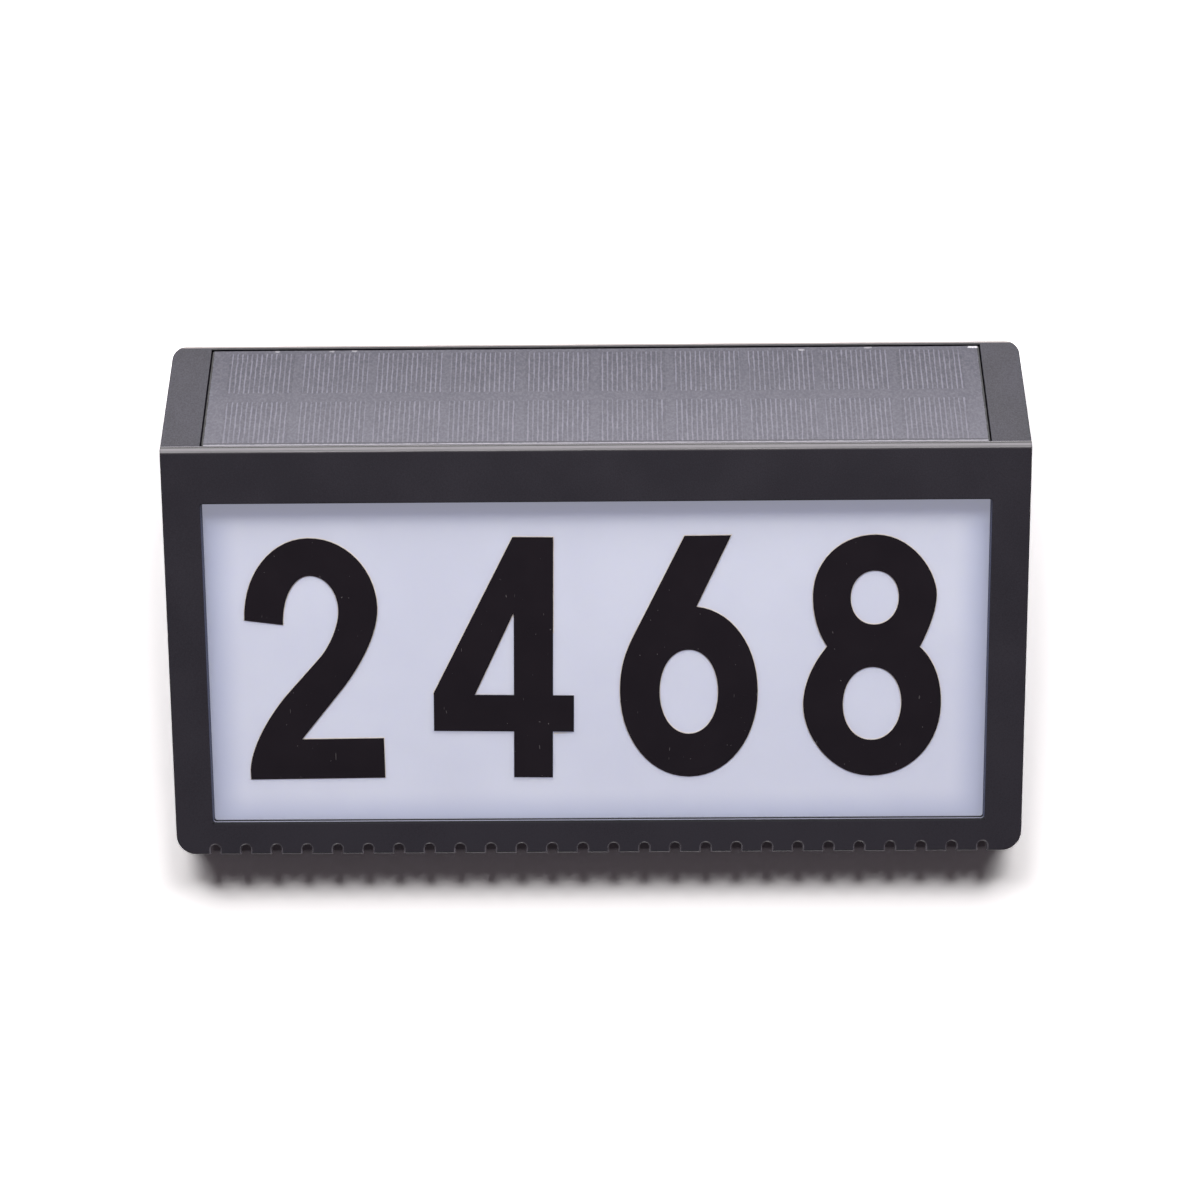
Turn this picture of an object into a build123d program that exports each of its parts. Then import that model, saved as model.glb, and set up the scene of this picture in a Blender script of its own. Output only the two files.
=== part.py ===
from build123d import *
from math import atan2, cos, hypot, pi, sin
import os

# Illuminated house number sign: a wedge-shaped outdoor wall light with an opal window, a solar
# panel let into its sloping roof, and everything that makes it work sealed behind a rear cover.
#
# Frame: X runs across the sign, +Z is up the wall, and the front faces -Y. The origin is the
# centre of the back face, which lies in the plane Y = 0 and goes against the wall.
# Everything is in millimetres.

# ---------------------------------------------------------------- outer form
width = 300.0              # side to side
height = 181.0             # bottom lip to top edge
edge_depth = 13.0          # depth of the thin edge along the top and the bottom
ridge_depth = 38.6         # depth at the ridge, the thickest place
ridge_from_top = 40.2      # top edge down to the ridge
bottom_corner = 7.0        # corner radius at the bottom, seen from the front
top_corner = 4.8           # corner radius at the top
top_round = 2.0            # round between the roof and the top wall

# ---------------------------------------------------------------- front frame
plate = 2.1                # thickness of the frame's plate
side_rail = 13.25          # window to the side edge
top_rail = 17.5            # ridge down to the window
bottom_rail = 11.6         # window down to the lip
window_corner = 1.0
frame_edge_round = 0.7     # round on the frame's outer front edge
window_bevel = 0.35        # bevel on the window's front edge
ridge_step = 0.25          # how far the frame's top band stands above the roof
ridge_round = 0.2          # round on that band's rear edge
lip_overhang = 4.5         # how far the frame hangs below the housing
notch_pitch = 10.9         # arched drain notches along the lip
notch_end = 13.0           # last notch to the side edge, at least
notch_width = 3.5
notch_height = 3.6
notch_bevel = 0.35         # bevel round the front of each notch
rim_width = 2.5            # upstand round the back of the window
rim_height = 1.6

# ---------------------------------------------------------------- housing
wall = 2.2                 # side, top, bottom and roof walls
flange = 2.0               # wall behind the frame
fit_gap = 0.3              # clearance round pieces that drop into a place
roof_floor = 1.6           # floor under the solar panel
ledge_height = 2.0         # ledge that carries the seal
ledge_lip = 0.4            # ledge reaching in beyond the seal
band_gap = 0.15            # frame's top band to the panel bed
cut_past = 1.0             # how far a cut runs past the face that it opens

# ---------------------------------------------------------------- solar panel
panel_margin = 13.55       # roof cheek on each side of the panel's bed
panel_gap = 0.6            # open gap round the panel, at the sides and the top
panel_top_margin = 1.6     # top edge of the roof down to the panel's bed
cell_pitch = 26.2          # column to column
cell_border = 0.8          # panel's edge to the cells, at least
cell_width = 24.6
cell_height = 18.4
cell_row_gap = 3.3
cell_thick = 0.25
sheet_thick = 0.9          # clear top sheet, with the cells bedded in its underside
solar_board_thick = 1.2
bed_tape_thick = 0.6
bed_tape_width = 4.0
panel_sunk = 0.2           # top sheet below the roof's surface
panel_corner = 0.5
solar_cable_hole = 3.5     # radius
solar_cable_up = 24.0      # up the roof from the ridge

# ---------------------------------------------------------------- window and light box
gasket_thick = 0.5
diffuser_thick = 2.5
diffuser_overlap = 3.3     # diffuser beyond the window, all round
tray_overlap = 2.0         # light box beyond the window, at the sides and bottom
tray_head_room = 1.0       # light box beyond the diffuser, at the top
tray_corner = 1.5          # corner radius outside
tray_corner_inside = 1.0
tray_wall = 1.2
tray_floor = 1.3
tray_room = 4.0            # clear depth inside the light box
ear_thick = 1.5
ear_width = 8.0
led_board_thick = 1.0
led_board_depth = 3.6
led_board_end = 6.5        # board's end to the light box's side wall
led_end = 4.0              # last LED to the board's end, at least
led_size = (3.5, 2.8, 0.8)     # along the board, across it, standing off it
led_pitch = 13.0
led_wire_hole_gap = 0.3

# ---------------------------------------------------------------- rear cover
cover = 2.4                # thickness
cover_rim = 1.2            # housing rim that the cover drops into
cover_gap = 0.15
cover_bevel = 0.3
seal_thick = 0.8
seal_width = 1.5
keyhole_spacing = 200.0
keyhole_from_top = 72.5    # entry hole below the top edge
keyhole_head = 4.75        # radius of the entry hole
keyhole_neck = 2.3         # half the slot's width
keyhole_run = 9.0          # entry hole to the slot's end
keyhole_room = 4.2         # pocket behind the cover for the screw's head
keyhole_room_side = 0.8    # pocket wider than the entry hole, all round
keyhole_wall = 1.5
boss_radius = 3.0
cover_screw_depth = 1.2    # seat sunk into the cover for each screw head
boss_to_seal = 0.2         # bosses clear of the seal
screw_head_gap = 0.3       # head in its sunk seat, all round
side_screw_drop = 21.0     # side screws below the frame's posts
top_screw_spacing = 100.0

# ---------------------------------------------------------------- screws
screw_shank = 1.25         # radius
screw_head = 2.5           # radius
screw_head_height = 1.1
screw_recess = 0.6         # half width of the cross recess's arms, tip to tip is four times that
screw_clear = 0.2          # clearance of a shank in its hole
pilot_gap = 0.05           # a shank in the hole that it cuts its thread in
screw_bite = 6.0           # shank's reach below the seat
screw_head_edge = 0.4      # chamfer round the head
pilot_past = 0.5           # hole deeper than the shank

# ---------------------------------------------------------------- frame posts
post_radius = 2.2
post_ring = 3.2            # radius of the housing's ring round a post
post_gap = 0.15
post_inset = 5.2           # in from the sides
post_start = 2.5           # first side post below the window's top
post_end = 23.5            # last side post above the window's bottom
side_post_count = 3
top_post_down = 8.5
top_post_inset = 38.0      # outer posts of the top row, in from the sides
top_post_count = 4

# ---------------------------------------------------------------- button and switch
board_x = 60.0
board_from_top = 30.5
board_size = (62.0, 34.0, 1.6)
board_corner = 1.5
button_x = 80.0
button_radius = 4.5
dish_radius = 8.0          # finger dish in the cover round the button
dish_depth = 1.0
button_proud = 0.7         # button face above the dish, still below the back of the cover
button_travel = 0.8
button_slide_gap = 0.05
button_flange_radius = 5.6
button_flange = 1.0
button_guide = 1.7         # guide collar inside the cover
button_rest_gap = 0.3
button_edge = 0.4          # round on the face's rim
button_ball = 18.0         # radius of the face's hollow
button_hollow = 0.35       # and its depth
collar_wall = 2.0
plunger_radius = 1.75
plunger_show = 1.5         # plunger clear of the switch body
plunger_inside = 1.3
switch_size = (6.0, 6.0, 3.6)
switch_corner = 0.5
switch_spare = 0.2         # room below the plunger when it is pressed
seal_ring_thick = 0.8
seal_ring_width = 0.85
standoff_radius = 3.0
standoff_inset = 4.0

# ---------------------------------------------------------------- on the board, placed from its middle
inductor_place = (2.0, 4.0)
inductor_flange = (4.0, 0.9)   # radius and thickness
inductor_waist = (3.2, 3.0)    # radius and length
capacitor_place = (-10.0, 1.0)
capacitor_size = (3.15, 5.4)   # radius and height
capacitor_edge = 0.4
chip_place = (14.0, -9.0)
chip_size = (4.9, 3.9, 1.45)
chip_stand = 0.15
leg_count = 4                  # on each long side
leg_pitch = 1.27
leg_size = (0.45, 1.1, 0.7)
socket_size = 6.0
socket_height = 5.0
socket_wall = 1.2
socket_hollow = 1.0
socket_edge = 3.5              # battery socket in from the board's end
solar_socket_place = (-14.0, 12.0)
led_socket_place = (4.0, -12.0)

# ---------------------------------------------------------------- battery
cell_radius = 9.15
cell_length = 65.0
cell_edge = 0.6
cell_button = (3.2, 1.2)       # radius and height
battery_x = -52.0
battery_from_top = 32.5
holder_floor = 1.6
holder_wall = 1.6
holder_end = 2.0
holder_side_height = 11.0
holder_finger_gap = 29.0   # dip in the side walls, to lift the cell out
holder_boss = 3.0
holder_tab = 1.6
holder_tab_reach = 3.2     # holder's side wall to the screw
holder_screw_spacing = 40.0
contact_thick = 0.4
contact_width = 7.0
contact_drop = 4.0         # plate below the cell's middle
leaf_thick = 0.35
leaf_width = 5.0
contact_spring = 2.6       # room for the spring leaf at the negative end
contact_tab = 2.2          # solder tab standing above the holder's end wall

# ---------------------------------------------------------------- wires
wire_radius = 0.8
wire_pair = 1.2            # half the spacing of the two wires in a socket
wire_height = 2.5          # above the board where they enter the socket
wire_gap = 0.1             # wire's top edge below a contact's
solar_wire_reach = 19.0    # from the panel's hole across to the socket
led_wire_reach = 28.0      # from the socket across to the light box's hole
led_wire_spacing = 3.0
led_wire_rise = 3.5        # above the light box before they turn
led_wire_sag = (7.0, 0.8)  # half way: back towards the wall, and down
led_wire_lead = 6.0        # straight run into the socket
solar_wire_drop = 3.0      # below the panel's floor before they turn
solar_wire_lead = 6.0
red_wire_lead = (12.0, 14.0)   # straight runs out of the contact and into the socket
black_wire_lead = (7.0, 9.0)
black_wire_beside = 2.2        # clear of the cradle's side wall, where it runs back past the cell
black_wire_bends = ((14.0, 9.0, 1.0), (47.5, 8.8, 0.6), (81.5, 9.4, 1.0))  # along, off the cover, aside
black_wire_swing = (22.0, 1.6, 6.0)    # last bend: before the socket, lower, aside

# ================================================================ places worked out from the sizes
top_z = height / 2
bottom_z = -height / 2
ridge_z = top_z - ridge_from_top
housing_bottom = bottom_z + lip_overhang

face_rise = ridge_z - bottom_z
face_run = ridge_depth - edge_depth
face_length = hypot(face_rise, face_run)
face_angle = atan2(face_run, face_rise)
roof_length = hypot(ridge_from_top, face_run)
roof_angle = atan2(face_run, ridge_from_top)

FACE = Plane(
    origin=(0, -ridge_depth, ridge_z),
    x_dir=(1, 0, 0),
    z_dir=(0, -cos(face_angle), -sin(face_angle)),
)
ROOF = Plane(
    origin=(0, -ridge_depth, ridge_z),
    x_dir=(1, 0, 0),
    z_dir=(0, -cos(roof_angle), sin(roof_angle)),
)
BACK = Plane.XZ

window_width = width - 2 * side_rail
window_height = face_length - top_rail - bottom_rail
window_top = top_rail
window_bottom = window_top + window_height
notch_count = int((width - 2 * notch_end) / notch_pitch) + 1
diffuser_near = plate + rim_height + gasket_thick
diffuser_far = diffuser_near + diffuser_thick
tray_top = window_top - diffuser_overlap - tray_head_room
tray_bottom = window_bottom + tray_overlap
tray_width = window_width + 2 * tray_overlap
tray_far = diffuser_far + tray_room + tray_floor
led_board_length = tray_width - 2 * tray_wall - 2 * led_board_end
led_count = int((led_board_length - 2 * led_end) / led_pitch) + 1
post_x = width / 2 - post_inset
post_pitch = (window_height - post_start - post_end) / (side_post_count - 1)
post_downs = [window_top + post_start + i * post_pitch for i in range(side_post_count)]
top_post_reach = width / 2 - top_post_inset
top_post_pitch = 2 * top_post_reach / (top_post_count - 1)
top_post_places = [-top_post_reach + i * top_post_pitch for i in range(top_post_count)]
seal_inset = cover_rim + fit_gap
cover_screw_inset = seal_inset + seal_width + boss_to_seal + boss_radius
cover_screw_x = width / 2 - cover_screw_inset

led_depth_middle = diffuser_far + tray_room / 2

keyhole_z = top_z - keyhole_from_top
board_z = top_z - board_from_top
battery_z = top_z - battery_from_top

button_foot = cover + button_guide + button_rest_gap
switch_near = button_foot + button_flange + plunger_show
board_near = switch_near + switch_size[2]
board_far = board_near + board_size[2]
bore_radius = button_radius + button_slide_gap
seal_ring_outer = bore_radius + seal_ring_width
battery_socket = (board_x - board_size[0] / 2 + socket_edge, board_z)
solar_socket = (board_x + solar_socket_place[0], board_z + solar_socket_place[1])
led_socket = (board_x + led_socket_place[0], board_z + led_socket_place[1])
solar_cable_x = solar_socket[0] - socket_size / 2 - solar_wire_reach
led_wire_x = led_socket[0] + led_wire_reach
led_wire_places = (led_wire_x, led_wire_x + led_wire_spacing)

holder_boss_top = cover + holder_boss
holder_far = cover + holder_floor + holder_side_height
holder_length = cell_length + 2 * contact_thick + contact_spring + 2 * holder_end
cell_left = battery_x - holder_length / 2 + holder_end + contact_thick + contact_spring
cell_depth = cover + holder_floor + cell_radius + fit_gap
contact_tab_far = holder_far + contact_tab

panel_room = bed_tape_thick + solar_board_thick + sheet_thick + panel_sunk
pocket_low = plate / sin(face_angle + roof_angle) + band_gap
pocket_high = roof_length - panel_top_margin
pocket_width = width - 2 * panel_margin
panel_low = pocket_low + fit_gap
panel_high = pocket_high - panel_gap
panel_width = pocket_width - 2 * panel_gap
cell_row_pitch = cell_height + cell_row_gap
cell_columns = int((panel_width - 2 * cell_border) / cell_pitch)
cell_rows = int((panel_high - panel_low - 2 * cell_border + cell_row_gap) / cell_row_pitch)


# ================================================================ small helpers
def face_point(down, depth):
    """A point of the side view, (y, z), so far down the face and so deep behind it."""
    y = -ridge_depth + down * sin(face_angle) + depth * cos(face_angle)
    z = ridge_z - down * cos(face_angle) + depth * sin(face_angle)
    return y, z


def roof_point(up, depth):
    """A point of the side view, (y, z), so far up the roof and so deep under it."""
    y = -ridge_depth + up * sin(roof_angle) + depth * cos(roof_angle)
    z = ridge_z + up * cos(roof_angle) - depth * sin(roof_angle)
    return y, z


def face_at_height(z, depth):
    """The point of the side view at height z on the line so deep behind the face."""
    down = (ridge_z - z + depth * sin(face_angle)) / cos(face_angle)
    return face_point(down, depth)


def ridge_corner(face_depth, roof_depth):
    """Where the line so deep behind the face meets the line so deep under the roof."""
    turn = face_angle + roof_angle
    down = (roof_depth - face_depth * cos(turn)) / sin(turn)
    return face_point(down, face_depth)


def roof_at_height(z, depth):
    """The point of the side view at height z on the line so deep under the roof."""
    up = (z - ridge_z + depth * sin(roof_angle)) / cos(roof_angle)
    return roof_point(up, depth)


def side_face(points):
    return make_face(Polyline(*points, close=True))


def across(profile, span):
    """Side view profile drawn out symmetrically across the sign."""
    return extrude(Plane.YZ * profile, span / 2, both=True)


def sheet(plane, x, y, size_x, size_y, low, high, radius=0.0):
    """Plate standing from low to high above a plane, round-cornered where a radius is given."""
    if radius > 0:
        outline = RectangleRounded(size_x, size_y, radius)
    else:
        outline = Rectangle(size_x, size_y)
    return plane * Pos(x, y, low) * extrude(outline, high - low)


def face_slab(size_x, top, bottom, near, far, radius=0.0, x=0.0):
    """Plate in the front face's slant: top and bottom are down the face, near and far behind it."""
    return sheet(FACE, x, -(top + bottom) / 2, size_x, bottom - top, -far, -near, radius)


def roof_slab(size_x, low, high, near, far, radius=0.0, x=0.0):
    """Plate in the roof's slant: low and high are up the roof, near and far under it."""
    return sheet(ROOF, x, (low + high) / 2, size_x, high - low, -far, -near, radius)


def back_slab(size_x, bottom, top, near, far, radius=0.0, x=0.0):
    """Plate parallel to the wall: near and far are distances in front of the back face."""
    return sheet(BACK, x, (bottom + top) / 2, size_x, top - bottom, near, far, radius)


def pin(plane, x, y, radius, low, high):
    return plane * Pos(x, y, low) * extrude(Circle(radius), high - low)


def face_pin(x, down, radius, near, far):
    return pin(FACE, x, -down, radius, -far, -near)


def back_pin(x, z, radius, near, far):
    return pin(BACK, x, z, radius, near, far)


def outline(inset):
    """The sign's outline from behind, drawn in by inset."""
    low = housing_bottom + inset
    high = top_z - inset
    shape = Pos(0, (low + high) / 2) * Rectangle(width - 2 * inset, high - low)
    shape = fillet(shape.vertices().group_by(Axis.Y)[0], max(bottom_corner - inset, 0.6))
    return fillet(shape.vertices().group_by(Axis.Y)[-1], max(top_corner - inset, 0.6))


def back_plate(inset, near, far):
    return BACK * Pos(0, 0, near) * extrude(outline(inset), far - near)


def screw(reach):
    """Cross-recess pan head screw. Its seat is at z = 0, the head above, the shank below."""
    head = extrude(Circle(screw_head), screw_head_height)
    head = chamfer(head.edges().sort_by(Axis.Z)[-1], screw_head_edge)
    shank = Pos(0, 0, -reach) * extrude(Circle(screw_shank), reach)
    bar = Box(screw_recess * 4, screw_recess, screw_head_height)
    cross = Pos(0, 0, screw_head_height) * (bar + Rot(0, 0, 90) * bar)
    return head + shank - cross


def wire(points, radius=wire_radius):
    """Insulated wire along straight runs joined by tangent arcs."""
    runs = [(b - a).length for a, b in zip(points[:-1], points[1:])]
    bends = []
    for i in range(1, len(points) - 1):
        turn = (points[i] - points[i - 1]).get_angle(points[i + 1] - points[i]) * pi / 180
        shorter = min(runs[i - 1], runs[i])
        bends.append(0.45 * shorter * cos(turn / 2) / sin(turn / 2))
    path = FilletPolyline(*points, radius=bends)
    start = Plane(origin=points[0], z_dir=points[1] - points[0])
    return sweep(start * Circle(radius), path=path)


# ================================================================ front frame
def notch_outlines():
    """The row of arches, in the face's own plane, open at the lip's lower edge."""
    radius = notch_width / 2
    arch = Pos(0, notch_height - radius) * Circle(radius)
    arch += Pos(0, (notch_height - radius) / 2 - radius) * Rectangle(notch_width, notch_height + radius)
    first = -(notch_count - 1) / 2 * notch_pitch
    return [Pos(first + i * notch_pitch, -face_length) * arch for i in range(notch_count)]


def frame_post_places():
    places = [(side * post_x, down) for side in (-1, 1) for down in post_downs]
    return places + [(x, top_post_down) for x in top_post_places]


def make_front_frame():
    """Bezel plate: window with its rim, band along the ridge, notched lip and screw posts."""
    over_top = plate * 3
    blank = Pos(0, (over_top - face_length) / 2) * Rectangle(width, face_length + over_top)
    blank = fillet(blank.vertices().group_by(Axis.Y)[0], bottom_corner)
    body = Pos(0, 0, -plate) * extrude(blank, plate)
    front_edges = body.faces().sort_by(Axis.Z)[-1].outer_wire().edges().sort_by(Axis.Y)
    body = fillet(front_edges[:-1], frame_edge_round)
    middle = Pos(0, -(window_top + window_bottom) / 2)
    window = middle * RectangleRounded(window_width, window_height, window_corner)
    body -= extrude(window, plate * 2, both=True)
    inner_edges = body.faces().sort_by(Axis.Z)[-1].inner_wires()[0].edges()
    body = chamfer(inner_edges, window_bevel)
    for notch in notch_outlines():
        body -= extrude(notch, plate * 2, both=True)
        wide = Pos(0, 0, notch_bevel) * offset(notch, 2 * notch_bevel)
        body -= extrude(wide, -2 * notch_bevel, taper=45)
    body = FACE * body
    body -= ROOF * Pos(0, 0, ridge_step + face_length) * Box(width * 2, face_length * 2, face_length * 2)
    band_rear = body.edges().filter_by(Axis.X).sort_by(Axis.Z)[-1]
    body = fillet(band_rear, ridge_round)
    rim = face_slab(
        window_width + 2 * rim_width,
        window_top - rim_width,
        window_bottom + rim_width,
        plate,
        plate + rim_height,
        window_corner + rim_width,
    )
    body += rim - face_slab(
        window_width, window_top, window_bottom, 0, plate + rim_height + cut_past, window_corner
    )
    for x, down in frame_post_places():
        body += face_pin(x, down, post_radius, plate, diffuser_far)
        body -= face_pin(x, down, screw_shank + pilot_gap, plate, diffuser_far + cut_past)
    return body


# ================================================================ housing
def make_outer_wedge():
    """The housing's outer form behind the frame, solid."""
    side = side_face([
        (0, housing_bottom),
        face_at_height(housing_bottom, plate),
        ridge_corner(plate, 0),
        (-edge_depth, top_z),
        (0, top_z),
    ])
    side = fillet(side.vertices().sort_by_distance((-edge_depth, top_z))[0], top_round)
    return across(side, width) & back_plate(0, -cut_past, ridge_depth + cut_past)


def make_cavity():
    """The room inside the housing."""
    side = side_face([
        (cut_past, housing_bottom + wall),
        face_at_height(housing_bottom + wall, plate + flange),
        ridge_corner(plate + flange, wall),
        roof_at_height(top_z - wall, wall),
        (cut_past, top_z - wall),
    ])
    return across(side, width - 2 * wall) & back_plate(wall, -2 * cut_past, ridge_depth)


def cover_screw_places():
    heights = [face_point(down, 0)[1] - side_screw_drop for down in post_downs]
    top_row = top_z - cover_screw_inset
    places = [(side * cover_screw_x, z) for side in (-1, 1) for z in heights + [top_row]]
    return places + [(side * top_screw_spacing / 2, top_row) for side in (-1, 1)]


def make_housing():
    """Wedge shell with the sunk panel bed in its roof, the frame flange and all its bosses."""
    outer = make_outer_wedge()
    body = outer - make_cavity()
    body -= back_plate(cover_rim, -cut_past, cover + seal_thick)
    ledge_near = cover + seal_thick
    ledge_far = ledge_near + ledge_height
    body += back_plate(cover_rim, ledge_near, ledge_far) - back_plate(
        seal_inset + seal_width + ledge_lip, ledge_near - cut_past, ledge_far + cut_past
    )
    body += outer & roof_slab(
        pocket_width + 2 * roof_floor,
        pocket_low - roof_floor,
        roof_length,
        0,
        panel_room + roof_floor,
    )
    for x, z in cover_screw_places():
        body += outer & back_pin(x, z, boss_radius, cover, ridge_depth)
    opening = rim_width + fit_gap
    body -= face_slab(
        window_width + 2 * opening,
        window_top - opening,
        window_bottom + opening,
        0,
        plate + flange + cut_past,
        window_corner + opening,
    )
    for x, down in frame_post_places():
        body += face_pin(x, down, post_ring, plate, diffuser_far)
        body -= face_pin(x, down, post_radius + post_gap, 0, diffuser_far + cut_past)
    body -= roof_slab(pocket_width, pocket_low, pocket_high, -edge_depth, panel_room)
    below = panel_room + roof_floor + cut_past
    body -= pin(ROOF, solar_cable_x, solar_cable_up, solar_cable_hole, -below, 0)
    pilot_end = cover_screw_depth + screw_bite + pilot_past
    for x, z in cover_screw_places():
        body -= back_pin(x, z, screw_shank + pilot_gap, 0, pilot_end)
    return body


# ================================================================ window and light box
def make_window_gasket():
    outer = face_slab(
        window_width + 2 * rim_width,
        window_top - rim_width,
        window_bottom + rim_width,
        plate + rim_height,
        diffuser_near,
        window_corner + rim_width,
    )
    return outer - face_slab(
        window_width, window_top, window_bottom, 0, diffuser_near + cut_past, window_corner
    )


def make_diffuser():
    return face_slab(
        window_width + 2 * diffuser_overlap,
        window_top - diffuser_overlap,
        window_bottom + diffuser_overlap,
        diffuser_near,
        diffuser_far,
        window_corner,
    )


def make_reflector_tray():
    """White light box behind the window, open to the front, hung on the frame's posts."""
    body = face_slab(tray_width, tray_top, tray_bottom, diffuser_far, tray_far, tray_corner)
    for x, down in frame_post_places():
        if down > tray_top:
            side = 1 if x > 0 else -1
            inner = tray_width / 2 - tray_wall
            reach = post_x + post_radius - inner
            middle = side * (inner + reach / 2)
            body += face_slab(
                reach, down - ear_width / 2, down + ear_width / 2,
                diffuser_far, diffuser_far + ear_thick, 0, middle,
            )
        else:
            body += face_slab(
                ear_width, down - post_radius, tray_top + tray_wall,
                diffuser_far, diffuser_far + ear_thick, 0, x,
            )
        body -= face_pin(x, down, screw_shank + screw_clear, 0, tray_far)
    body -= face_slab(
        tray_width - 2 * tray_wall,
        tray_top + tray_wall,
        tray_bottom - tray_wall,
        0,
        diffuser_far + tray_room,
        tray_corner_inside,
    )
    for x in led_wire_places:
        hole_down = tray_top + tray_wall / 2
        place = FACE * Pos(x, -hole_down, -led_depth_middle) * Rot(90, 0, 0)
        body -= place * Cylinder(wire_radius + led_wire_hole_gap, tray_wall * 3)
    return body


def make_led_board():
    near = led_depth_middle - led_board_depth / 2
    top = tray_top + tray_wall
    return face_slab(led_board_length, top, top + led_board_thick, near, near + led_board_depth)


def make_leds():
    length, depth, stand = led_size
    top = tray_top + tray_wall + led_board_thick
    near = led_depth_middle - depth / 2
    first = -(led_count - 1) / 2 * led_pitch
    return [
        face_slab(length, top, top + stand, near, near + depth, 0, first + i * led_pitch)
        for i in range(led_count)
    ]


# ================================================================ solar panel
def make_bed_tape():
    """Foam tape frame that beds the panel on the pocket's floor."""
    near = panel_room - bed_tape_thick
    outer = roof_slab(panel_width, panel_low, panel_high, near, panel_room)
    return outer - roof_slab(
        panel_width - 2 * bed_tape_width,
        panel_low + bed_tape_width,
        panel_high - bed_tape_width,
        0,
        panel_room + cut_past,
    )


def make_solar_board():
    near = panel_sunk + sheet_thick
    return roof_slab(panel_width, panel_low, panel_high, near, near + solar_board_thick)


def cell_slabs():
    near = panel_sunk + sheet_thick - cell_thick
    middle = (panel_low + panel_high) / 2
    first_x = -(cell_columns - 1) / 2 * cell_pitch
    first_up = middle - (cell_rows - 1) / 2 * cell_row_pitch
    slabs = []
    for row in range(cell_rows):
        up = first_up + row * cell_row_pitch
        for column in range(cell_columns):
            x = first_x + column * cell_pitch
            slabs.append(roof_slab(
                cell_width, up - cell_height / 2, up + cell_height / 2,
                near, panel_sunk + sheet_thick, 0, x,
            ))
    return slabs


def make_solar_sheet():
    """Clear top sheet, hollowed underneath where the cells lie."""
    body = roof_slab(
        panel_width, panel_low, panel_high, panel_sunk, panel_sunk + sheet_thick, panel_corner
    )
    for slab in cell_slabs():
        body -= slab
    return body


# ================================================================ rear cover
def keyhole_shape(x):
    """Keyhole seen from behind: round entry below, slot above."""
    entry = Pos(x, keyhole_z) * Circle(keyhole_head)
    slot = Pos(x, keyhole_z + keyhole_run / 2) * Rectangle(keyhole_neck * 2, keyhole_run)
    end = Pos(x, keyhole_z + keyhole_run) * Circle(keyhole_neck)
    return entry + slot + end


def make_rear_cover():
    """Flat cover: sunk screw seats, keyholes with closed pockets, button collar and standoffs."""
    body = back_plate(cover_rim + cover_gap, 0, cover)
    outer_edges = body.faces().sort_by(Axis.Y)[-1].edges()
    body = chamfer(outer_edges, cover_bevel)
    pocket_radius = keyhole_head + keyhole_room_side
    for side in (-1, 1):
        x = side * keyhole_spacing / 2
        low = keyhole_z - pocket_radius
        high = keyhole_z + keyhole_run + pocket_radius
        deep = cover + keyhole_room
        body += back_slab(
            2 * (pocket_radius + keyhole_wall), low - keyhole_wall, high + keyhole_wall,
            cover, deep + keyhole_wall, pocket_radius, x,
        )
        body -= back_slab(2 * pocket_radius, low, high, cover, deep, pocket_radius - keyhole_wall, x)
        body -= BACK * Pos(0, 0, -cut_past) * extrude(keyhole_shape(x), cover + 2 * cut_past)
    for x, z in cover_screw_places():
        body -= back_pin(x, z, screw_head + screw_head_gap, -cut_past, cover_screw_depth)
        body -= back_pin(x, z, screw_shank + screw_clear, -cut_past, cover + cut_past)
    for x, z in standoff_places():
        body += back_pin(x, z, standoff_radius, cover, board_near)
        pilot_low = board_far - screw_bite - pilot_past
        body -= back_pin(x, z, screw_shank + pilot_gap, pilot_low, board_near + cut_past)
    for x, z in holder_screw_places():
        body += back_pin(x, z, standoff_radius, cover, holder_boss_top)
        body -= back_pin(x, z, screw_shank + pilot_gap, cover - cut_past, holder_boss_top + cut_past)
    collar_top = cover + button_guide
    body += back_pin(button_x, board_z, bore_radius + collar_wall, cover, collar_top)
    body -= back_pin(button_x, board_z, dish_radius, -cut_past, dish_depth)
    body -= back_pin(button_x, board_z, bore_radius, -cut_past, collar_top + cut_past)
    body -= back_pin(
        button_x, board_z, seal_ring_outer, collar_top - seal_ring_thick, collar_top + cut_past
    )
    return body


def make_cover_seal():
    outer = back_plate(seal_inset, cover, cover + seal_thick)
    return outer - back_plate(seal_inset + seal_width, 0, cover + seal_thick + cut_past)


def make_cover_screws():
    seat = Plane(origin=(0, -cover_screw_depth, 0), x_dir=(1, 0, 0), z_dir=(0, 1, 0))
    return [seat * Pos(x, -z) * screw(screw_bite) for x, z in cover_screw_places()]


def make_frame_screws():
    depth = diffuser_far + ear_thick
    return [
        FACE * Pos(x, -down, -depth) * Rot(180, 0, 0) * screw(screw_bite)
        for x, down in frame_post_places()
    ]


# ================================================================ button, switch and board
def make_button():
    """Round key with the flange that keeps it behind the cover, and a dished face."""
    face_at = dish_depth - button_proud
    body = back_pin(button_x, board_z, button_radius, face_at, button_foot + button_flange)
    rim_edge = body.edges().sort_by(Axis.Y)[-1]
    body = fillet(rim_edge, button_edge)
    body -= BACK * Pos(button_x, board_z, face_at + button_hollow - button_ball) * Sphere(button_ball)
    return body + back_pin(
        button_x, board_z, button_flange_radius, button_foot, button_foot + button_flange
    )


def make_plunger():
    top = button_foot + button_flange
    return back_pin(button_x, board_z, plunger_radius, top, top + plunger_show + plunger_inside)


def make_switch():
    size_x, size_z, tall = switch_size
    body = back_slab(
        size_x, board_z - size_z / 2, board_z + size_z / 2,
        switch_near, switch_near + tall, switch_corner, button_x,
    )
    room = plunger_inside + button_travel + switch_spare
    return body - back_pin(
        button_x, board_z, plunger_radius + button_slide_gap, switch_near - cut_past, switch_near + room
    )


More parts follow.
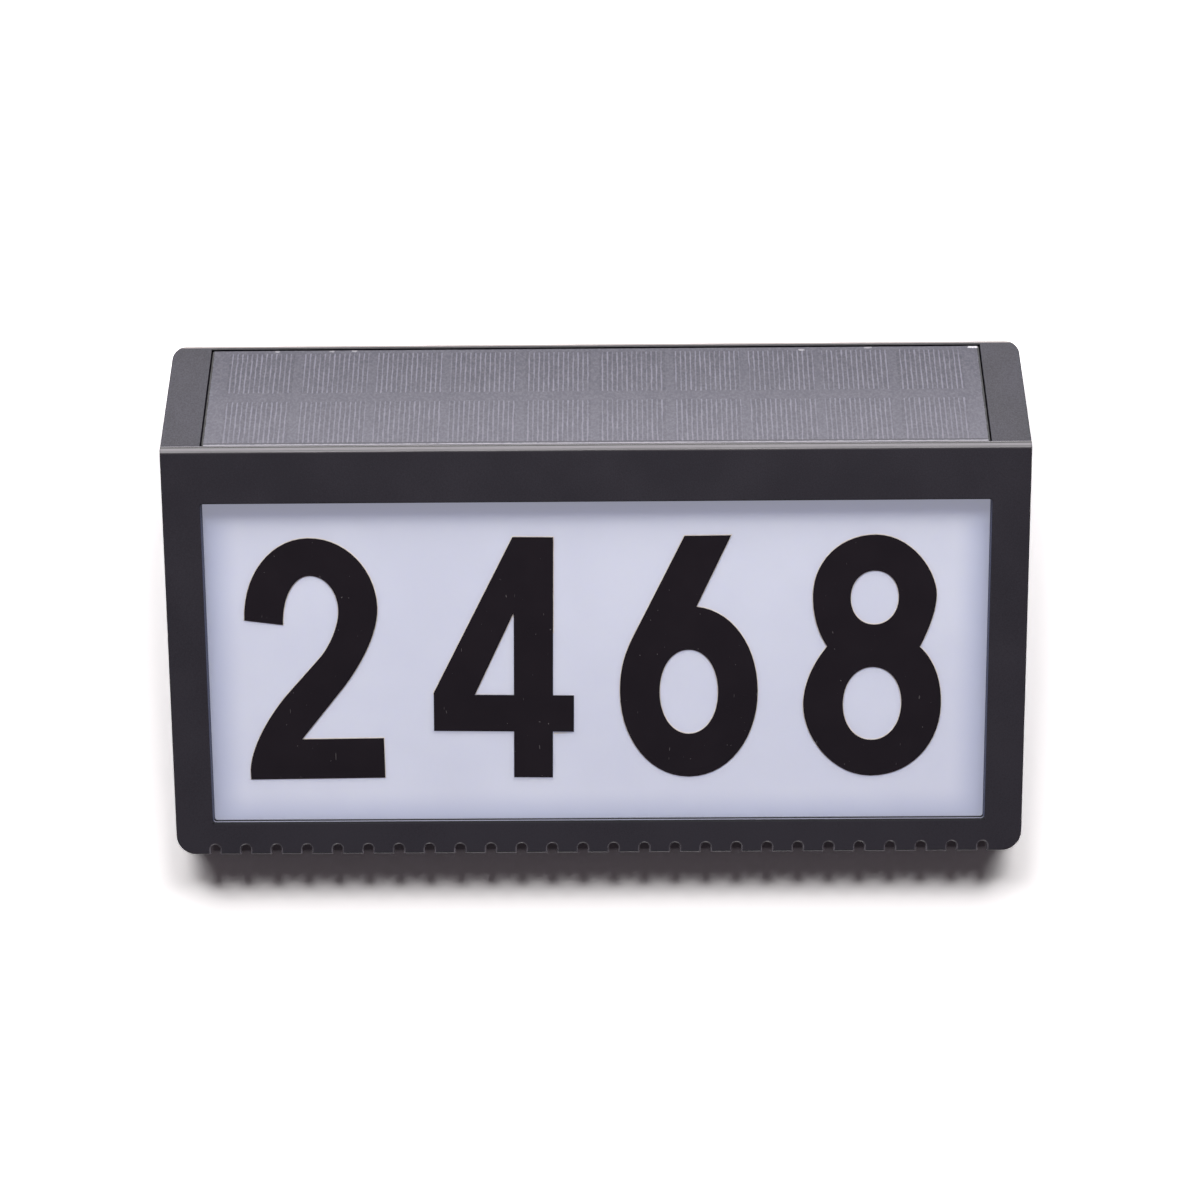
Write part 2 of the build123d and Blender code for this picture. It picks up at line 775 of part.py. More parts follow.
def make_seal_ring():
    far = cover + button_guide
    ring = back_pin(button_x, board_z, seal_ring_outer, far - seal_ring_thick, far)
    return ring - back_pin(button_x, board_z, bore_radius, 0, far + cut_past)


def standoff_places():
    reach_x = board_size[0] / 2 - standoff_inset
    reach_z = board_size[1] / 2 - standoff_inset
    return [(board_x + i * reach_x, board_z + j * reach_z) for i in (-1, 1) for j in (-1, 1)]


def make_control_board():
    size_x, size_z, thick = board_size
    body = back_slab(
        size_x, board_z - size_z / 2, board_z + size_z / 2,
        board_near, board_far, board_corner, board_x,
    )
    for x, z in standoff_places():
        body -= back_pin(x, z, screw_shank + screw_clear, board_near - cut_past, board_far + cut_past)
    return body


def make_board_screws():
    return [BACK * Pos(x, z, board_far) * screw(screw_bite) for x, z in standoff_places()]


def make_inductor():
    """Drum-shaped power inductor: two flanges with the wound waist between them."""
    x, z = board_x + inductor_place[0], board_z + inductor_place[1]
    radius, thick = inductor_flange
    waist_radius, waist = inductor_waist
    body = back_pin(x, z, radius, board_far, board_far + thick)
    body += back_pin(x, z, waist_radius, board_far + thick, board_far + thick + waist)
    return body + back_pin(x, z, radius, board_far + thick + waist, board_far + 2 * thick + waist)


def make_capacitor():
    x, z = board_x + capacitor_place[0], board_z + capacitor_place[1]
    radius, tall = capacitor_size
    body = back_pin(x, z, radius, board_far, board_far + tall)
    return chamfer(body.edges().sort_by(Axis.Y)[0], capacitor_edge)


def make_driver_chip():
    """Eight-legged chip: body with four gull legs on each long side."""
    x, z = board_x + chip_place[0], board_z + chip_place[1]
    long, short, tall = chip_size
    leg_width, leg_length, leg_height = leg_size
    seat = board_far + chip_stand
    body = back_slab(long, z - short / 2, z + short / 2, seat, seat + tall, 0, x)
    for i in range(leg_count):
        leg_x = x + (i - (leg_count - 1) / 2) * leg_pitch
        for side in (-1, 1):
            middle = z + side * (short / 2 + leg_length / 2 - chip_stand)
            body += back_slab(
                leg_width, middle - leg_length / 2, middle + leg_length / 2,
                board_far, board_far + leg_height, 0, leg_x,
            )
    return body


def make_sockets():
    """Three two-way wire sockets on the board: battery, solar panel and LEDs."""
    half = socket_size / 2
    lip = half - socket_wall
    top = board_far + socket_height
    bodies = []
    for x, z in (battery_socket, solar_socket, led_socket):
        body = back_slab(socket_size, z - half, z + half, board_far, top, 0, x)
        hollow = back_slab(2 * lip, z - lip, z + lip, top - socket_hollow, top + cut_past, 0, x)
        bodies.append(body - hollow)
    return bodies


# ================================================================ battery
def make_battery_holder():
    """Open cradle on the cover: floor with a saddle, two side walls and two end walls."""
    inner_z = cell_radius + fit_gap
    low, high = battery_z - inner_z - holder_wall, battery_z + inner_z + holder_wall
    body = back_slab(holder_length, low, high, cover, holder_far, 0, battery_x)
    body -= back_slab(
        holder_length - 2 * holder_end, battery_z - inner_z, battery_z + inner_z,
        cell_depth, holder_far + cut_past, 0, battery_x,
    )
    saddle = Pos(battery_x, -cell_depth, battery_z) * Rot(0, 90, 0)
    body -= saddle * Cylinder(cell_radius + fit_gap, holder_length - 2 * holder_end)
    dip = Box(holder_finger_gap, holder_side_height, 4 * cell_radius)
    body -= Pos(battery_x, -holder_far, battery_z) * dip
    for x, z in holder_screw_places():
        root = z + holder_tab_reach if z < battery_z else z - holder_tab_reach
        tab_top = holder_boss_top + holder_tab
        body += back_pin(x, z, standoff_radius, holder_boss_top, tab_top)
        body += back_slab(2 * standoff_radius, min(z, root), max(z, root), holder_boss_top, tab_top, 0, x)
        body -= back_pin(x, z, screw_shank + screw_clear, cover, holder_far)
    return body


def holder_screw_places():
    reach = cell_radius + fit_gap + holder_wall + holder_tab_reach
    aside = holder_screw_spacing / 2
    return [(battery_x - aside, battery_z - reach), (battery_x + aside, battery_z + reach)]


def make_holder_screws():
    seat = cover + holder_boss + holder_tab
    reach = holder_tab + holder_boss
    return [BACK * Pos(x, z, seat) * screw(reach) for x, z in holder_screw_places()]


def make_battery():
    """Round lithium cell lying along X, its positive button to the right."""
    nub_radius, nub = cell_button
    body = extrude(Circle(cell_radius), cell_length - nub)
    body = chamfer(body.edges(), cell_edge)
    body += Pos(0, 0, cell_length - nub) * extrude(Circle(nub_radius), nub)
    place = Plane(origin=(cell_left, -cell_depth, battery_z), x_dir=(0, 0, 1), z_dir=(1, 0, 0))
    return place * body


def make_contact_plate(x):
    low, high = cell_depth - contact_drop, contact_tab_far
    return Pos(x, -(low + high) / 2, battery_z) * Box(contact_thick, high - low, contact_width)


def make_positive_contact():
    return make_contact_plate(cell_left + cell_length + contact_thick / 2)


def make_negative_contact():
    """Flat plate with the half-round spring leaf that pushes the cell across."""
    plate_x = cell_left - contact_spring - contact_thick / 2
    leaf = Circle(contact_spring) - Circle(contact_spring - leaf_thick)
    leaf &= Pos(contact_spring / 2, 0) * Rectangle(contact_spring, contact_spring * 2)
    leaf = extrude(leaf, leaf_width / 2, both=True)
    return make_contact_plate(plate_x) + Pos(plate_x + contact_thick / 2, -cell_depth, battery_z) * leaf


# ================================================================ wires
def make_battery_wires():
    """From the two contact tabs to the battery socket on the board."""
    tab_depth = contact_tab_far - wire_radius - wire_gap
    right = cell_left + cell_length + contact_thick
    left = cell_left - contact_spring - contact_thick
    side = battery_z + cell_radius + holder_wall + black_wire_beside
    end_x = battery_socket[0] - socket_size / 2
    end_depth = board_far + wire_height
    red_z = battery_socket[1] - wire_pair
    black_z = battery_socket[1] + wire_pair
    red = wire([
        Vector(right, -tab_depth, battery_z),
        Vector(right + red_wire_lead[0], -tab_depth, battery_z),
        Vector(end_x - red_wire_lead[1], -end_depth, red_z),
        Vector(end_x, -end_depth, red_z),
    ])
    out_x = left - black_wire_lead[0]
    swing, lower, aside = black_wire_swing
    black = wire([
        Vector(left, -tab_depth, battery_z),
        Vector(out_x, -tab_depth, battery_z),
        Vector(out_x, -cover - black_wire_bends[0][1] - 1.0, side),
        *[Vector(left + along, -cover - off, side + by) for along, off, by in black_wire_bends],
        Vector(end_x - swing, -end_depth + lower, battery_socket[1] + aside),
        Vector(end_x - black_wire_lead[1], -end_depth, black_z),
        Vector(end_x, -end_depth, black_z),
    ])
    return red, black


def make_led_wires():
    """From the LED board up through the light box's top wall to the LED socket."""
    wires = []
    for i, x in enumerate(led_wire_places):
        y0, z0 = face_point(tray_top + tray_wall, led_depth_middle)
        apart = 2 * wire_pair * i
        y1, z1 = face_point(tray_top - led_wire_rise - apart, led_depth_middle)
        end_z = led_socket[1] - socket_size / 2
        end = Vector(led_socket[0] - wire_pair + apart, -board_far - wire_height, end_z)
        wires.append(wire([
            Vector(x, y0, z0),
            Vector(x, y1, z1),
            Vector((x + end.X) / 2, y1 + led_wire_sag[0], z1 - led_wire_sag[1]),
            Vector(end.X, end.Y, end.Z - led_wire_lead + apart),
            end,
        ]))
    return wires


def make_solar_wires():
    """From the panel's board through the pocket floor to the solar socket."""
    wires = []
    for side in (-1, 1):
        up = solar_cable_up + side * wire_pair
        y0, z0 = roof_point(up, panel_sunk + sheet_thick + solar_board_thick)
        y1, z1 = roof_point(up, panel_room + roof_floor + solar_wire_drop)
        end_x = solar_socket[0] - socket_size / 2
        end = Vector(end_x, -board_far - wire_height, solar_socket[1] + side * wire_pair)
        wires.append(wire([
            Vector(solar_cable_x, y0, z0),
            Vector(solar_cable_x, y1, z1),
            Vector(end.X - solar_wire_lead, end.Y, end.Z),
            end,
        ]))
    return wires


# ================================================================ build and write every piece
battery_red, battery_black = make_battery_wires()
led_red, led_black = make_led_wires()
solar_red, solar_black = make_solar_wires()

pieces = {
    "front_frame": make_front_frame(),
    "window_gasket": make_window_gasket(),
    "diffuser_panel": make_diffuser(),
    "reflector_tray": make_reflector_tray(),
    "led_strip_board": make_led_board(),
    "led_chips": Compound(make_leds()),
    "housing": make_housing(),
    "solar_bed_tape": make_bed_tape(),
    "solar_backing_board": make_solar_board(),
    "solar_cells": Compound(cell_slabs()),
    "solar_cover_sheet": make_solar_sheet(),
    "rear_cover": make_rear_cover(),
    "rear_cover_seal": make_cover_seal(),
    "rear_cover_screws": Compound(make_cover_screws()),
    "frame_screws": Compound(make_frame_screws()),
    "mode_button": make_button(),
    "switch_plunger": make_plunger(),
    "mode_switch": make_switch(),
    "button_seal_ring": make_seal_ring(),
    "control_board": make_control_board(),
    "control_board_screws": Compound(make_board_screws()),
    "charge_inductor": make_inductor(),
    "storage_capacitor": make_capacitor(),
    "driver_chip": make_driver_chip(),
    "wire_sockets": Compound(make_sockets()),
    "battery_cell": make_battery(),
    "battery_holder": make_battery_holder(),
    "battery_holder_screws": Compound(make_holder_screws()),
    "battery_contact_positive": make_positive_contact(),
    "battery_contact_negative": make_negative_contact(),
    "battery_wire_red": battery_red,
    "battery_wire_black": battery_black,
    "led_wire_red": led_red,
    "led_wire_black": led_black,
    "solar_wire_red": solar_red,
    "solar_wire_black": solar_black,
}

os.makedirs("parts", exist_ok=True)
for name, piece in pieces.items():
    export_step(piece, f"parts/{name}.step")
    print(name, round(piece.volume, 1))
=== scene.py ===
# %% [markdown]
# # A lit house number sign
#
# This lesson dresses a solar house number sign. The sign hangs on a wall, and in the picture it lies on its
# back on a white table and is seen from straight above, so here the table stands upright behind it. The CAD
# model already holds every solid: the bezel, the housing, the solar panel, the light box and the electronics.
# What it lacks is the look of each surface, the four stick-on numerals and the fine form of the screws.
#
# Loading the imported model first fixes the frame: everything below is in metres, x to the right, z up and y
# into the wall.

# %% Load the solids
import math

import bmesh
import bpy
from mathutils import Matrix, Vector


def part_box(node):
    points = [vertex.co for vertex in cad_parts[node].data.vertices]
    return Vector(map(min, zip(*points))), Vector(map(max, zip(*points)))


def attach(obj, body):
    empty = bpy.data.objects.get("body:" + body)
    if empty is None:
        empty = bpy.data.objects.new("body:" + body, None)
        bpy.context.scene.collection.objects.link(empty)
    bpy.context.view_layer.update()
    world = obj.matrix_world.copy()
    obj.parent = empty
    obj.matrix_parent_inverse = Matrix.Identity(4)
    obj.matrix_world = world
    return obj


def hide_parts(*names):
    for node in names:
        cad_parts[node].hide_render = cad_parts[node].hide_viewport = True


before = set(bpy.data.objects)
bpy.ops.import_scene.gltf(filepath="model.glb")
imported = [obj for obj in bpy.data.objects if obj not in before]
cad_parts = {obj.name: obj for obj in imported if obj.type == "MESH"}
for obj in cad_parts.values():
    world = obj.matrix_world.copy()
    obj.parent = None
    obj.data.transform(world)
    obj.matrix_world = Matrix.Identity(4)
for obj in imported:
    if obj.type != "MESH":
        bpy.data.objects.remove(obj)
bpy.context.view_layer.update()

MM = 0.001
scene = bpy.context.scene

# %% [markdown]
# ## The camera
#
# The picture was taken with a moderately long lens from about 75 cm, and nearly square on. The lens and the
# place come from the way the sides of the sign converge: the front leans out towards the ridge, so its edges
# spread upwards, and the roof falls back, so its edges close again. The camera is turned by less than half a
# degree, which gives the level edges their slight slope.

# %% Camera
LENS_MM = 62.7
CAMERA_PLACE = (0.00732, -0.7560, -0.00271)
camera_data = bpy.data.cameras.new("camera")
camera_data.lens = LENS_MM
camera_data.sensor_width = 36.0
camera_data.clip_start = 0.01
camera = bpy.data.objects.new("camera", camera_data)
scene.collection.objects.link(camera)
camera.matrix_world = (
    Matrix.Translation(CAMERA_PLACE)
    @ Matrix.Rotation(math.radians(0.476), 4, "Z")
    @ Matrix.Rotation(math.radians(90.154), 4, "X")
    @ Matrix.Rotation(math.radians(-0.357), 4, "Z")
)
scene.camera = camera
scene.view_settings.view_transform = "Standard"
print("the camera stands", -CAMERA_PLACE[1], "m in front of the wall")

# %% [markdown]
# ## Building shaders from short lines
#
# A procedural material is a small graph. Written out in full, each node takes four or five lines, so this
# helper adds a node, sets its fields and fills its inputs in one call. An input is a number, a colour, or the
# socket of the node that feeds it. Colours are easier to judge as the 0 to 255 numbers of a screen, and
# shaders want linear light, so a second helper turns one into the other.

# %% Helpers for shader graphs
def add(tree, kind, inputs=None, **settings):
    """Add one shader node, set its fields and fill its inputs."""
    made = tree.nodes.new("ShaderNode" + kind)
    for key, value in settings.items():
        setattr(made, key, value)
    for key, value in (inputs or {}).items():
        if isinstance(value, bpy.types.NodeSocket):
            tree.links.new(value, made.inputs[key])
        else:
            made.inputs[key].default_value = value
    return made


def tone(red, green, blue):
    """The linear colour of a screen colour that is given as 0 to 255."""
    share = [channel / 255 for channel in (red, green, blue)]
    linear = [((c + 0.055) / 1.055) ** 2.4 if c > 0.04 else c / 12.92 for c in share]
    return (*linear, 1.0)


def calc(tree, operation, first, second=0.0, third=0.0):
    """The result of one Math node."""
    inputs = {0: first, 1: second}
    if operation == "MULTIPLY_ADD":
        inputs[2] = third
    return add(tree, "Math", inputs, operation=operation).outputs[0]


def rise(tree, value, low, high, start=0.0, end=1.0):
    """A soft step: start below low, end above high."""
    inputs = {"Value": value, "From Min": low, "From Max": high, "To Min": start, "To Max": end}
    return add(tree, "MapRange", inputs, interpolation_type="SMOOTHSTEP").outputs[0]


def between(tree, value, low, high, soft):
    """1 from low to high and 0 outside, with soft ends."""
    above_low = rise(tree, value, low - soft, low)
    below_high = rise(tree, value, high, high + soft, 1.0, 0.0)
    return calc(tree, "MULTIPLY", above_low, below_high)


def sum_of_squares(tree, first, second):
    """The square of a distance whose two legs are given."""
    return calc(tree, "ADD", calc(tree, "POWER", first, 2.0), calc(tree, "POWER", second, 2.0))


def blend_colours(tree, share, first, second):
    """first where share is 0 and second where it is 1."""
    return add(tree, "Mix", {0: share, 6: first, 7: second}, data_type="RGBA").outputs[2]


print("a mid grey of 128 is", round(tone(128, 128, 128)[0], 3), "in linear light")

# %% [markdown]
# ## The white table
#
# The table is a plane just behind the sign's back. A white table in a bright studio is brighter than the
# picture can hold, so for the camera its colour is above one: it is plain white, and only the deep shadow below
# the lip stays dark. Every other ray meets ordinary white paint, so the table throws no more light onto the
# sign than a real one would. Right at the foot of the sign hardly any light arrives, so a narrow strip there,
# the one seen through the notches, is painted darker for the camera: a painted shade. Far from the sign the
# lamps fade, and the table makes up for it. Seen from behind the table is clear, because the sign's back should
# be seen as well.

# %% Table
TABLE_GAP = 0.5 * MM
TABLE_HALF = 1.6
table_bm = bmesh.new()
bmesh.ops.create_grid(table_bm, x_segments=1, y_segments=1, size=TABLE_HALF)
bmesh.ops.rotate(table_bm, verts=table_bm.verts, matrix=Matrix.Rotation(math.radians(90), 3, "X"))
bmesh.ops.translate(table_bm, verts=table_bm.verts, vec=(0, TABLE_GAP, 0))
table_mesh = bpy.data.meshes.new("table")
table_bm.to_mesh(table_mesh)
table_bm.free()
table = bpy.data.objects.new("table", table_mesh)
scene.collection.objects.link(table)
table.visible_shadow = False
print("the table faces", tuple(round(c) for c in table_mesh.polygons[0].normal))

# %% Table paint
SEEN_WHITE = (1.62, 1.60, 1.63, 1)
PAINTED_SHADE_AT_FOOT = (0.62, 0.58, 0.62, 1)
SEEN_FAR_OUT = (9.0, 9.0, 9.0, 1)
PAINT_WHITE = (0.85, 0.85, 0.86, 1)
table_paint = bpy.data.materials.new("table_paint")
table_paint.use_nodes = True
tree = table_paint.node_tree
tree.nodes.clear()
where = add(tree, "TexCoord").outputs["Object"]
place = add(tree, "SeparateXYZ", {0: where})
# Painted shade: the strip at the foot of the sign is painted darker for the camera.
foot_shade = rise(tree, place.outputs["Z"], -91.6 * MM, -90.2 * MM)
from_middle = calc(tree, "ABSOLUTE", calc(tree, "ADD", place.outputs["Z"], 40 * MM))
near_foot = rise(tree, from_middle, 60 * MM, 62 * MM, 1.0, 0.0)
beside_sign = rise(tree, calc(tree, "ABSOLUTE", place.outputs["X"]), 139 * MM, 141 * MM)
far_out = add(tree, "VectorMath", {0: where}, operation="LENGTH").outputs["Value"]
for_camera = blend_colours(tree, foot_shade, SEEN_WHITE, PAINTED_SHADE_AT_FOOT)
for_camera = blend_colours(tree, near_foot, SEEN_WHITE, for_camera)
for_camera = blend_colours(tree, beside_sign, for_camera, SEEN_WHITE)
for_camera = blend_colours(tree, rise(tree, far_out, 0.3, 1.3), for_camera, SEEN_FAR_OUT)
seen = add(tree, "LightPath").outputs["Is Camera Ray"]
paint = add(tree, "BsdfDiffuse", {"Color": blend_colours(tree, seen, PAINT_WHITE, for_camera)}).outputs[0]
clear = add(tree, "BsdfTransparent").outputs[0]
behind = add(tree, "NewGeometry").outputs["Backfacing"]
either = add(tree, "MixShader", {0: behind, 1: paint, 2: clear}).outputs[0]
add(tree, "OutputMaterial", {"Surface": either})
table_mesh.materials.append(table_paint)
print("table paint has", len(tree.nodes), "nodes")

# %% [markdown]
# ## Soft lamps above the sign
#
# The shadow in the picture tells where the light came from. It lies below the lip only, it is short, and both
# of its ends run inwards, so there were two lamps, high on the left and high on the right. Its far edge is
# crisp at first and then fades slowly, so a long, low light stood behind them above the sign. Their power is
# set so that white paint facing the camera renders as white. Lamps behind the wall plane light the sign's
# back and underside for the other views, and can't be seen from the front.

# %% Lamps
LAMP_DISTANCE = 1.3
WARM_WHITE = (1.0, 0.985, 0.97)


def soft_box(name, toward, size, watts):
    """A lamp that shines at the sign's middle from the direction toward. Size is across and up."""
    lamp_data = bpy.data.lights.new(name, "AREA")
    lamp_data.shape = "RECTANGLE"
    lamp_data.size, lamp_data.size_y = size
    lamp_data.energy = watts
    lamp_data.color = WARM_WHITE
    lamp = bpy.data.objects.new(name, lamp_data)
    scene.collection.objects.link(lamp)
    lamp.location = Vector(toward).normalized() * LAMP_DISTANCE
    lamp.rotation_euler = Vector(toward).to_track_quat("Z", "Y").to_euler()
    lamp.visible_camera = False


soft_box("soft_box_left", (-0.340, -0.616, 0.628), (0.75, 0.20), 7.0)
soft_box("soft_box_right", (0.340, -0.616, 0.628), (0.75, 0.20), 7.0)
soft_box("long_light", (0.0, -0.5, 0.866), (1.4, 0.5), 18.0)
soft_box("back_left", (-0.7, 0.75, 0.45), (0.6, 0.6), 11.0)
soft_box("back_right", (0.7, 0.75, 0.45), (0.6, 0.6), 11.0)
soft_box("back_low", (0.0, 0.5, -0.87), (0.6, 0.6), 4.0)
print([lamp.name for lamp in bpy.data.lights])

# %% [markdown]
# ## What the surfaces mirror
#
# The camera sees a white world. A satin plastic mirrors the room instead, and the room was bright above the
# sign and dark behind the camera: that is why the sloping roof looks grey and the front nearly black,
# although both are the same plastic. The light path chooses between the two, and the direction of the ray
# sets the brightness of the mirrored room. What is mirrored is faintly blue, as daylight in a white room is,
# and the little light that comes from all round is faintly red, as it is in the shadow below the lip.

# %% World
DIFFUSE_LEVEL = 0.038
DIFFUSE_TINT = (1.06, 0.90, 0.96, 1.0)
MIRRORED_TINT = (0.95, 0.93, 1.10, 1.0)
world = bpy.data.worlds.new("room")
scene.world = world
world.use_nodes = True
tree = world.node_tree
tree.nodes.clear()
path = add(tree, "LightPath")
direction = add(tree, "SeparateXYZ", {0: add(tree, "TexCoord").outputs["Generated"]})
above = rise(tree, direction.outputs["Z"], 0.35, 0.95, 0.10, 0.39)
below = rise(tree, calc(tree, "MULTIPLY", direction.outputs["Z"], -1.0), 0.3, 0.7, 0.0, 0.22)
behind_wall = rise(tree, direction.outputs["Y"], -0.1, 0.6, 0.0, 0.7)
mirrored = calc(tree, "MAXIMUM", calc(tree, "MAXIMUM", above, below), behind_wall)
not_mirrored = calc(tree, "MAXIMUM", path.outputs["Is Camera Ray"], path.outputs["Is Transmission Ray"])
plain = add(tree, "Mix", {0: not_mirrored, 2: DIFFUSE_LEVEL, 3: 1.0}).outputs[0]
level = add(tree, "Mix", {0: path.outputs["Is Glossy Ray"], 2: plain, 3: mirrored}).outputs[0]
room_tint = blend_colours(tree, path.outputs["Is Glossy Ray"], DIFFUSE_TINT, MIRRORED_TINT)
tint = blend_colours(tree, not_mirrored, room_tint, (1.0, 1.0, 1.0, 1.0))
sky = add(tree, "Background", {"Color": tint, "Strength": level}).outputs[0]
add(tree, "OutputWorld", {"Surface": sky})
print("the world lights the sign with", DIFFUSE_LEVEL)

# %% [markdown]
# ## Moulded plastic
#
# Most of the sign is moulded in the same way: a steel mould with a fine spark texture leaves tiny bumps, the
# colour varies very slightly where the melt met, and the bumps' tops are a little smoother than the pits.
# One function holds that recipe, and each plastic gives its own colour, grain size and gloss. Noise on
# Object coordinates is measured in metres, so a grain size in millimetres is turned into a scale.

# %% Moulded plastic recipe
def start_finish(name):
    """An empty material, its graph and the place on the piece."""
    finish = bpy.data.materials.new(name)
    finish.use_nodes = True
    tree = finish.node_tree
    tree.nodes.clear()
    return finish, tree, add(tree, "TexCoord").outputs["Object"]


def noise(tree, where, size_mm, detail=3.0, roughness=0.55):
    """Cloudy noise with features of about size_mm millimetres."""
    inputs = {"Vector": where, "Scale": 1.0 / (size_mm * MM), "Detail": detail, "Roughness": roughness}
    return add(tree, "TexNoise", inputs).outputs[0]


def bump(tree, height, depth_mm):
    """A bump from a height of 0 to 1 that is depth_mm deep."""
    inputs = {"Strength": 1.0, "Distance": depth_mm * MM, "Height": height}
    return add(tree, "Bump", inputs).outputs[0]


def end_finish(tree, **surface):
    """The Principled shader with its output. Names use _ for a space."""
    inputs = {key.replace("_", " "): value for key, value in surface.items()}
    shader = add(tree, "BsdfPrincipled", inputs)
    add(tree, "OutputMaterial", {"Surface": shader.outputs[0]})
    return shader


def moulded(name, dark, light, grain_mm, depth_mm, gloss):
    """A moulded plastic that varies between two colours, and between the two roughnesses of gloss."""
    finish, tree, where = start_finish(name)
    grain = noise(tree, where, grain_mm, 4.0, 0.6)
    flow = noise(tree, where, 22.0, 2.0)
    share = calc(tree, "MULTIPLY_ADD", grain, 0.65, calc(tree, "MULTIPLY", flow, 0.35))
    colour = blend_colours(tree, rise(tree, share, 0.36, 0.64), dark, light)
    rough = rise(tree, grain, 0.3, 0.7, gloss[1], gloss[0])
    end_finish(tree, Base_Color=colour, Roughness=rough, Normal=bump(tree, grain, depth_mm))
    return finish


finishes = {
    "black_plastic": moulded("black_plastic", tone(30, 30, 33), tone(42, 41, 44), 0.3, 0.015, (0.35, 0.5)),
    "black_rubber": moulded("black_rubber", tone(26, 26, 28), tone(36, 35, 37), 0.25, 0.012, (0.62, 0.78)),
    "ivory_plastic": moulded("ivory_plastic", tone(214, 206, 184), tone(228, 221, 202), 0.4, 0.01, (0.3, 0.42)),
    "white_plastic": moulded("white_plastic", tone(222, 223, 224), tone(236, 236, 236), 0.6, 0.01, (0.38, 0.5)),
}
print(sorted(finishes))

# %% [markdown]
# ## The housing
#
# The housing is charcoal plastic with a fine grain. Its uppermost edge is rounded and smoother, and a pale line
# is painted along the top as a painted reflection of the bright room that it mirrors. Below that line, the gap
# in front of the solar panel is painted as a dark strip, a painted shade. Both are narrow strips of one
# moulding, so masks by place pick them: the z of the Object coordinates is the height, and y keeps the strips
# on the roof's side of the edge.

# %% Housing
HIGHLIGHT_FROM_Z = 89.75 * MM
GAP_SHADE_LOW_Z = 89.15 * MM
GAP_SHADE_HIGH_Z = 89.6 * MM
finish, tree, where = start_finish("housing_plastic")
grain = noise(tree, where, 0.5, 4.0, 0.6)
flow = noise(tree, where, 22.0, 2.0)
place = add(tree, "SeparateXYZ", {0: where})
height = place.outputs["Z"]
share = calc(tree, "MULTIPLY_ADD", grain, 0.65, calc(tree, "MULTIPLY", flow, 0.35))
colour = blend_colours(tree, rise(tree, share, 0.36, 0.64), tone(29, 27, 38), tone(41, 39, 52))
on_roof = rise(tree, place.outputs["Y"], -11.8 * MM, -11.0 * MM, 1.0, 0.0)
over_panel = rise(tree, calc(tree, "ABSOLUTE", place.outputs["X"]), 136.3 * MM, 136.6 * MM, 1.0, 0.0)
# Painted reflection: the pale line along the top edge, which is also smoother.
highlit_edge = calc(tree, "MULTIPLY", rise(tree, height, HIGHLIGHT_FROM_Z, HIGHLIGHT_FROM_Z + 0.1 * MM), on_roof)
# Painted shade: the dark strip of the gap in front of the panel.
painted_joint_shade = calc(tree, "MULTIPLY", between(tree, height, GAP_SHADE_LOW_Z, GAP_SHADE_HIGH_Z, 0.05 * MM), over_panel)
colour = blend_colours(tree, highlit_edge, colour, tone(150, 144, 143))
colour = blend_colours(tree, calc(tree, "MULTIPLY", painted_joint_shade, on_roof), colour, tone(22, 21, 26))
rough = add(tree, "Mix", {0: highlit_edge, 2: rise(tree, grain, 0.3, 0.7, 0.66, 0.52), 3: 0.32}).outputs[0]
end_finish(tree, Base_Color=colour, Roughness=rough, Normal=bump(tree, grain, 0.045))
finishes["housing_plastic"] = finish
print("the dark joint is", round((GAP_SHADE_HIGH_Z - GAP_SHADE_LOW_Z) / MM, 2), "mm high")

# %% [markdown]
# ## The bezel
#
# The bezel is the same plastic, with three differences. Its upper edge is cut in the plane of the roof and
# shows as a paler band along the ridge: the paler colour is painted sheen from the lamps above, a light and a
# dark line run along it, and its last strip, where the ridge rounds over, is a painted highlight. Of the walls
# of the window, the sides are painted blue as painted light from the opal sheet, and the low one is painted
# dark as painted shade, but for a pale line that is a painted reflection of the lit sheet. The rims of the
# notches and the lower edge are painted pale as a painted highlight where they mirror the bright table. The
# whole front is also painted a little lighter towards its lower edge, as painted light. Each is found from the
# place on the bezel: the depth behind the front, and how far down the front a point lies. These two are the y
# and z turned by the lean of the front.

# %% Places on the bezel
RIDGE_Z = 50.3 * MM
RIDGE_Y = -38.6 * MM
LEAN = math.atan2(25.6, 140.8)
finish, tree, where = start_finish("frame_plastic")
place = add(tree, "SeparateXYZ", {0: where})
height = place.outputs["Z"]
aside = calc(tree, "ABSOLUTE", place.outputs["X"])
from_ridge_y = calc(tree, "SUBTRACT", place.outputs["Y"], RIDGE_Y)
from_ridge_z = calc(tree, "SUBTRACT", height, RIDGE_Z)
depth_by_z = calc(tree, "MULTIPLY", from_ridge_z, math.sin(LEAN))
depth = calc(tree, "MULTIPLY_ADD", from_ridge_y, math.cos(LEAN), depth_by_z)
down_by_z = calc(tree, "MULTIPLY", from_ridge_z, -math.cos(LEAN))
down = calc(tree, "MULTIPLY_ADD", from_ridge_y, math.sin(LEAN), down_by_z)
print("the front leans out by", round(math.degrees(LEAN), 1), "degrees")

# %% Plain bezel with painted highlights on the notches
LIP_END = 143.1 * MM
NOTCH_PITCH = 10.9 * MM
NOTCH_HALF = 1.75 * MM
NOTCH_CENTRE = LIP_END - 3.6 * MM + NOTCH_HALF
NOTCHES_END = 139 * MM
grain = noise(tree, where, 0.5, 4.0, 0.6)
flow = noise(tree, where, 30.0, 2.0)
share = calc(tree, "MULTIPLY_ADD", grain, 0.6, calc(tree, "MULTIPLY", flow, 0.4))
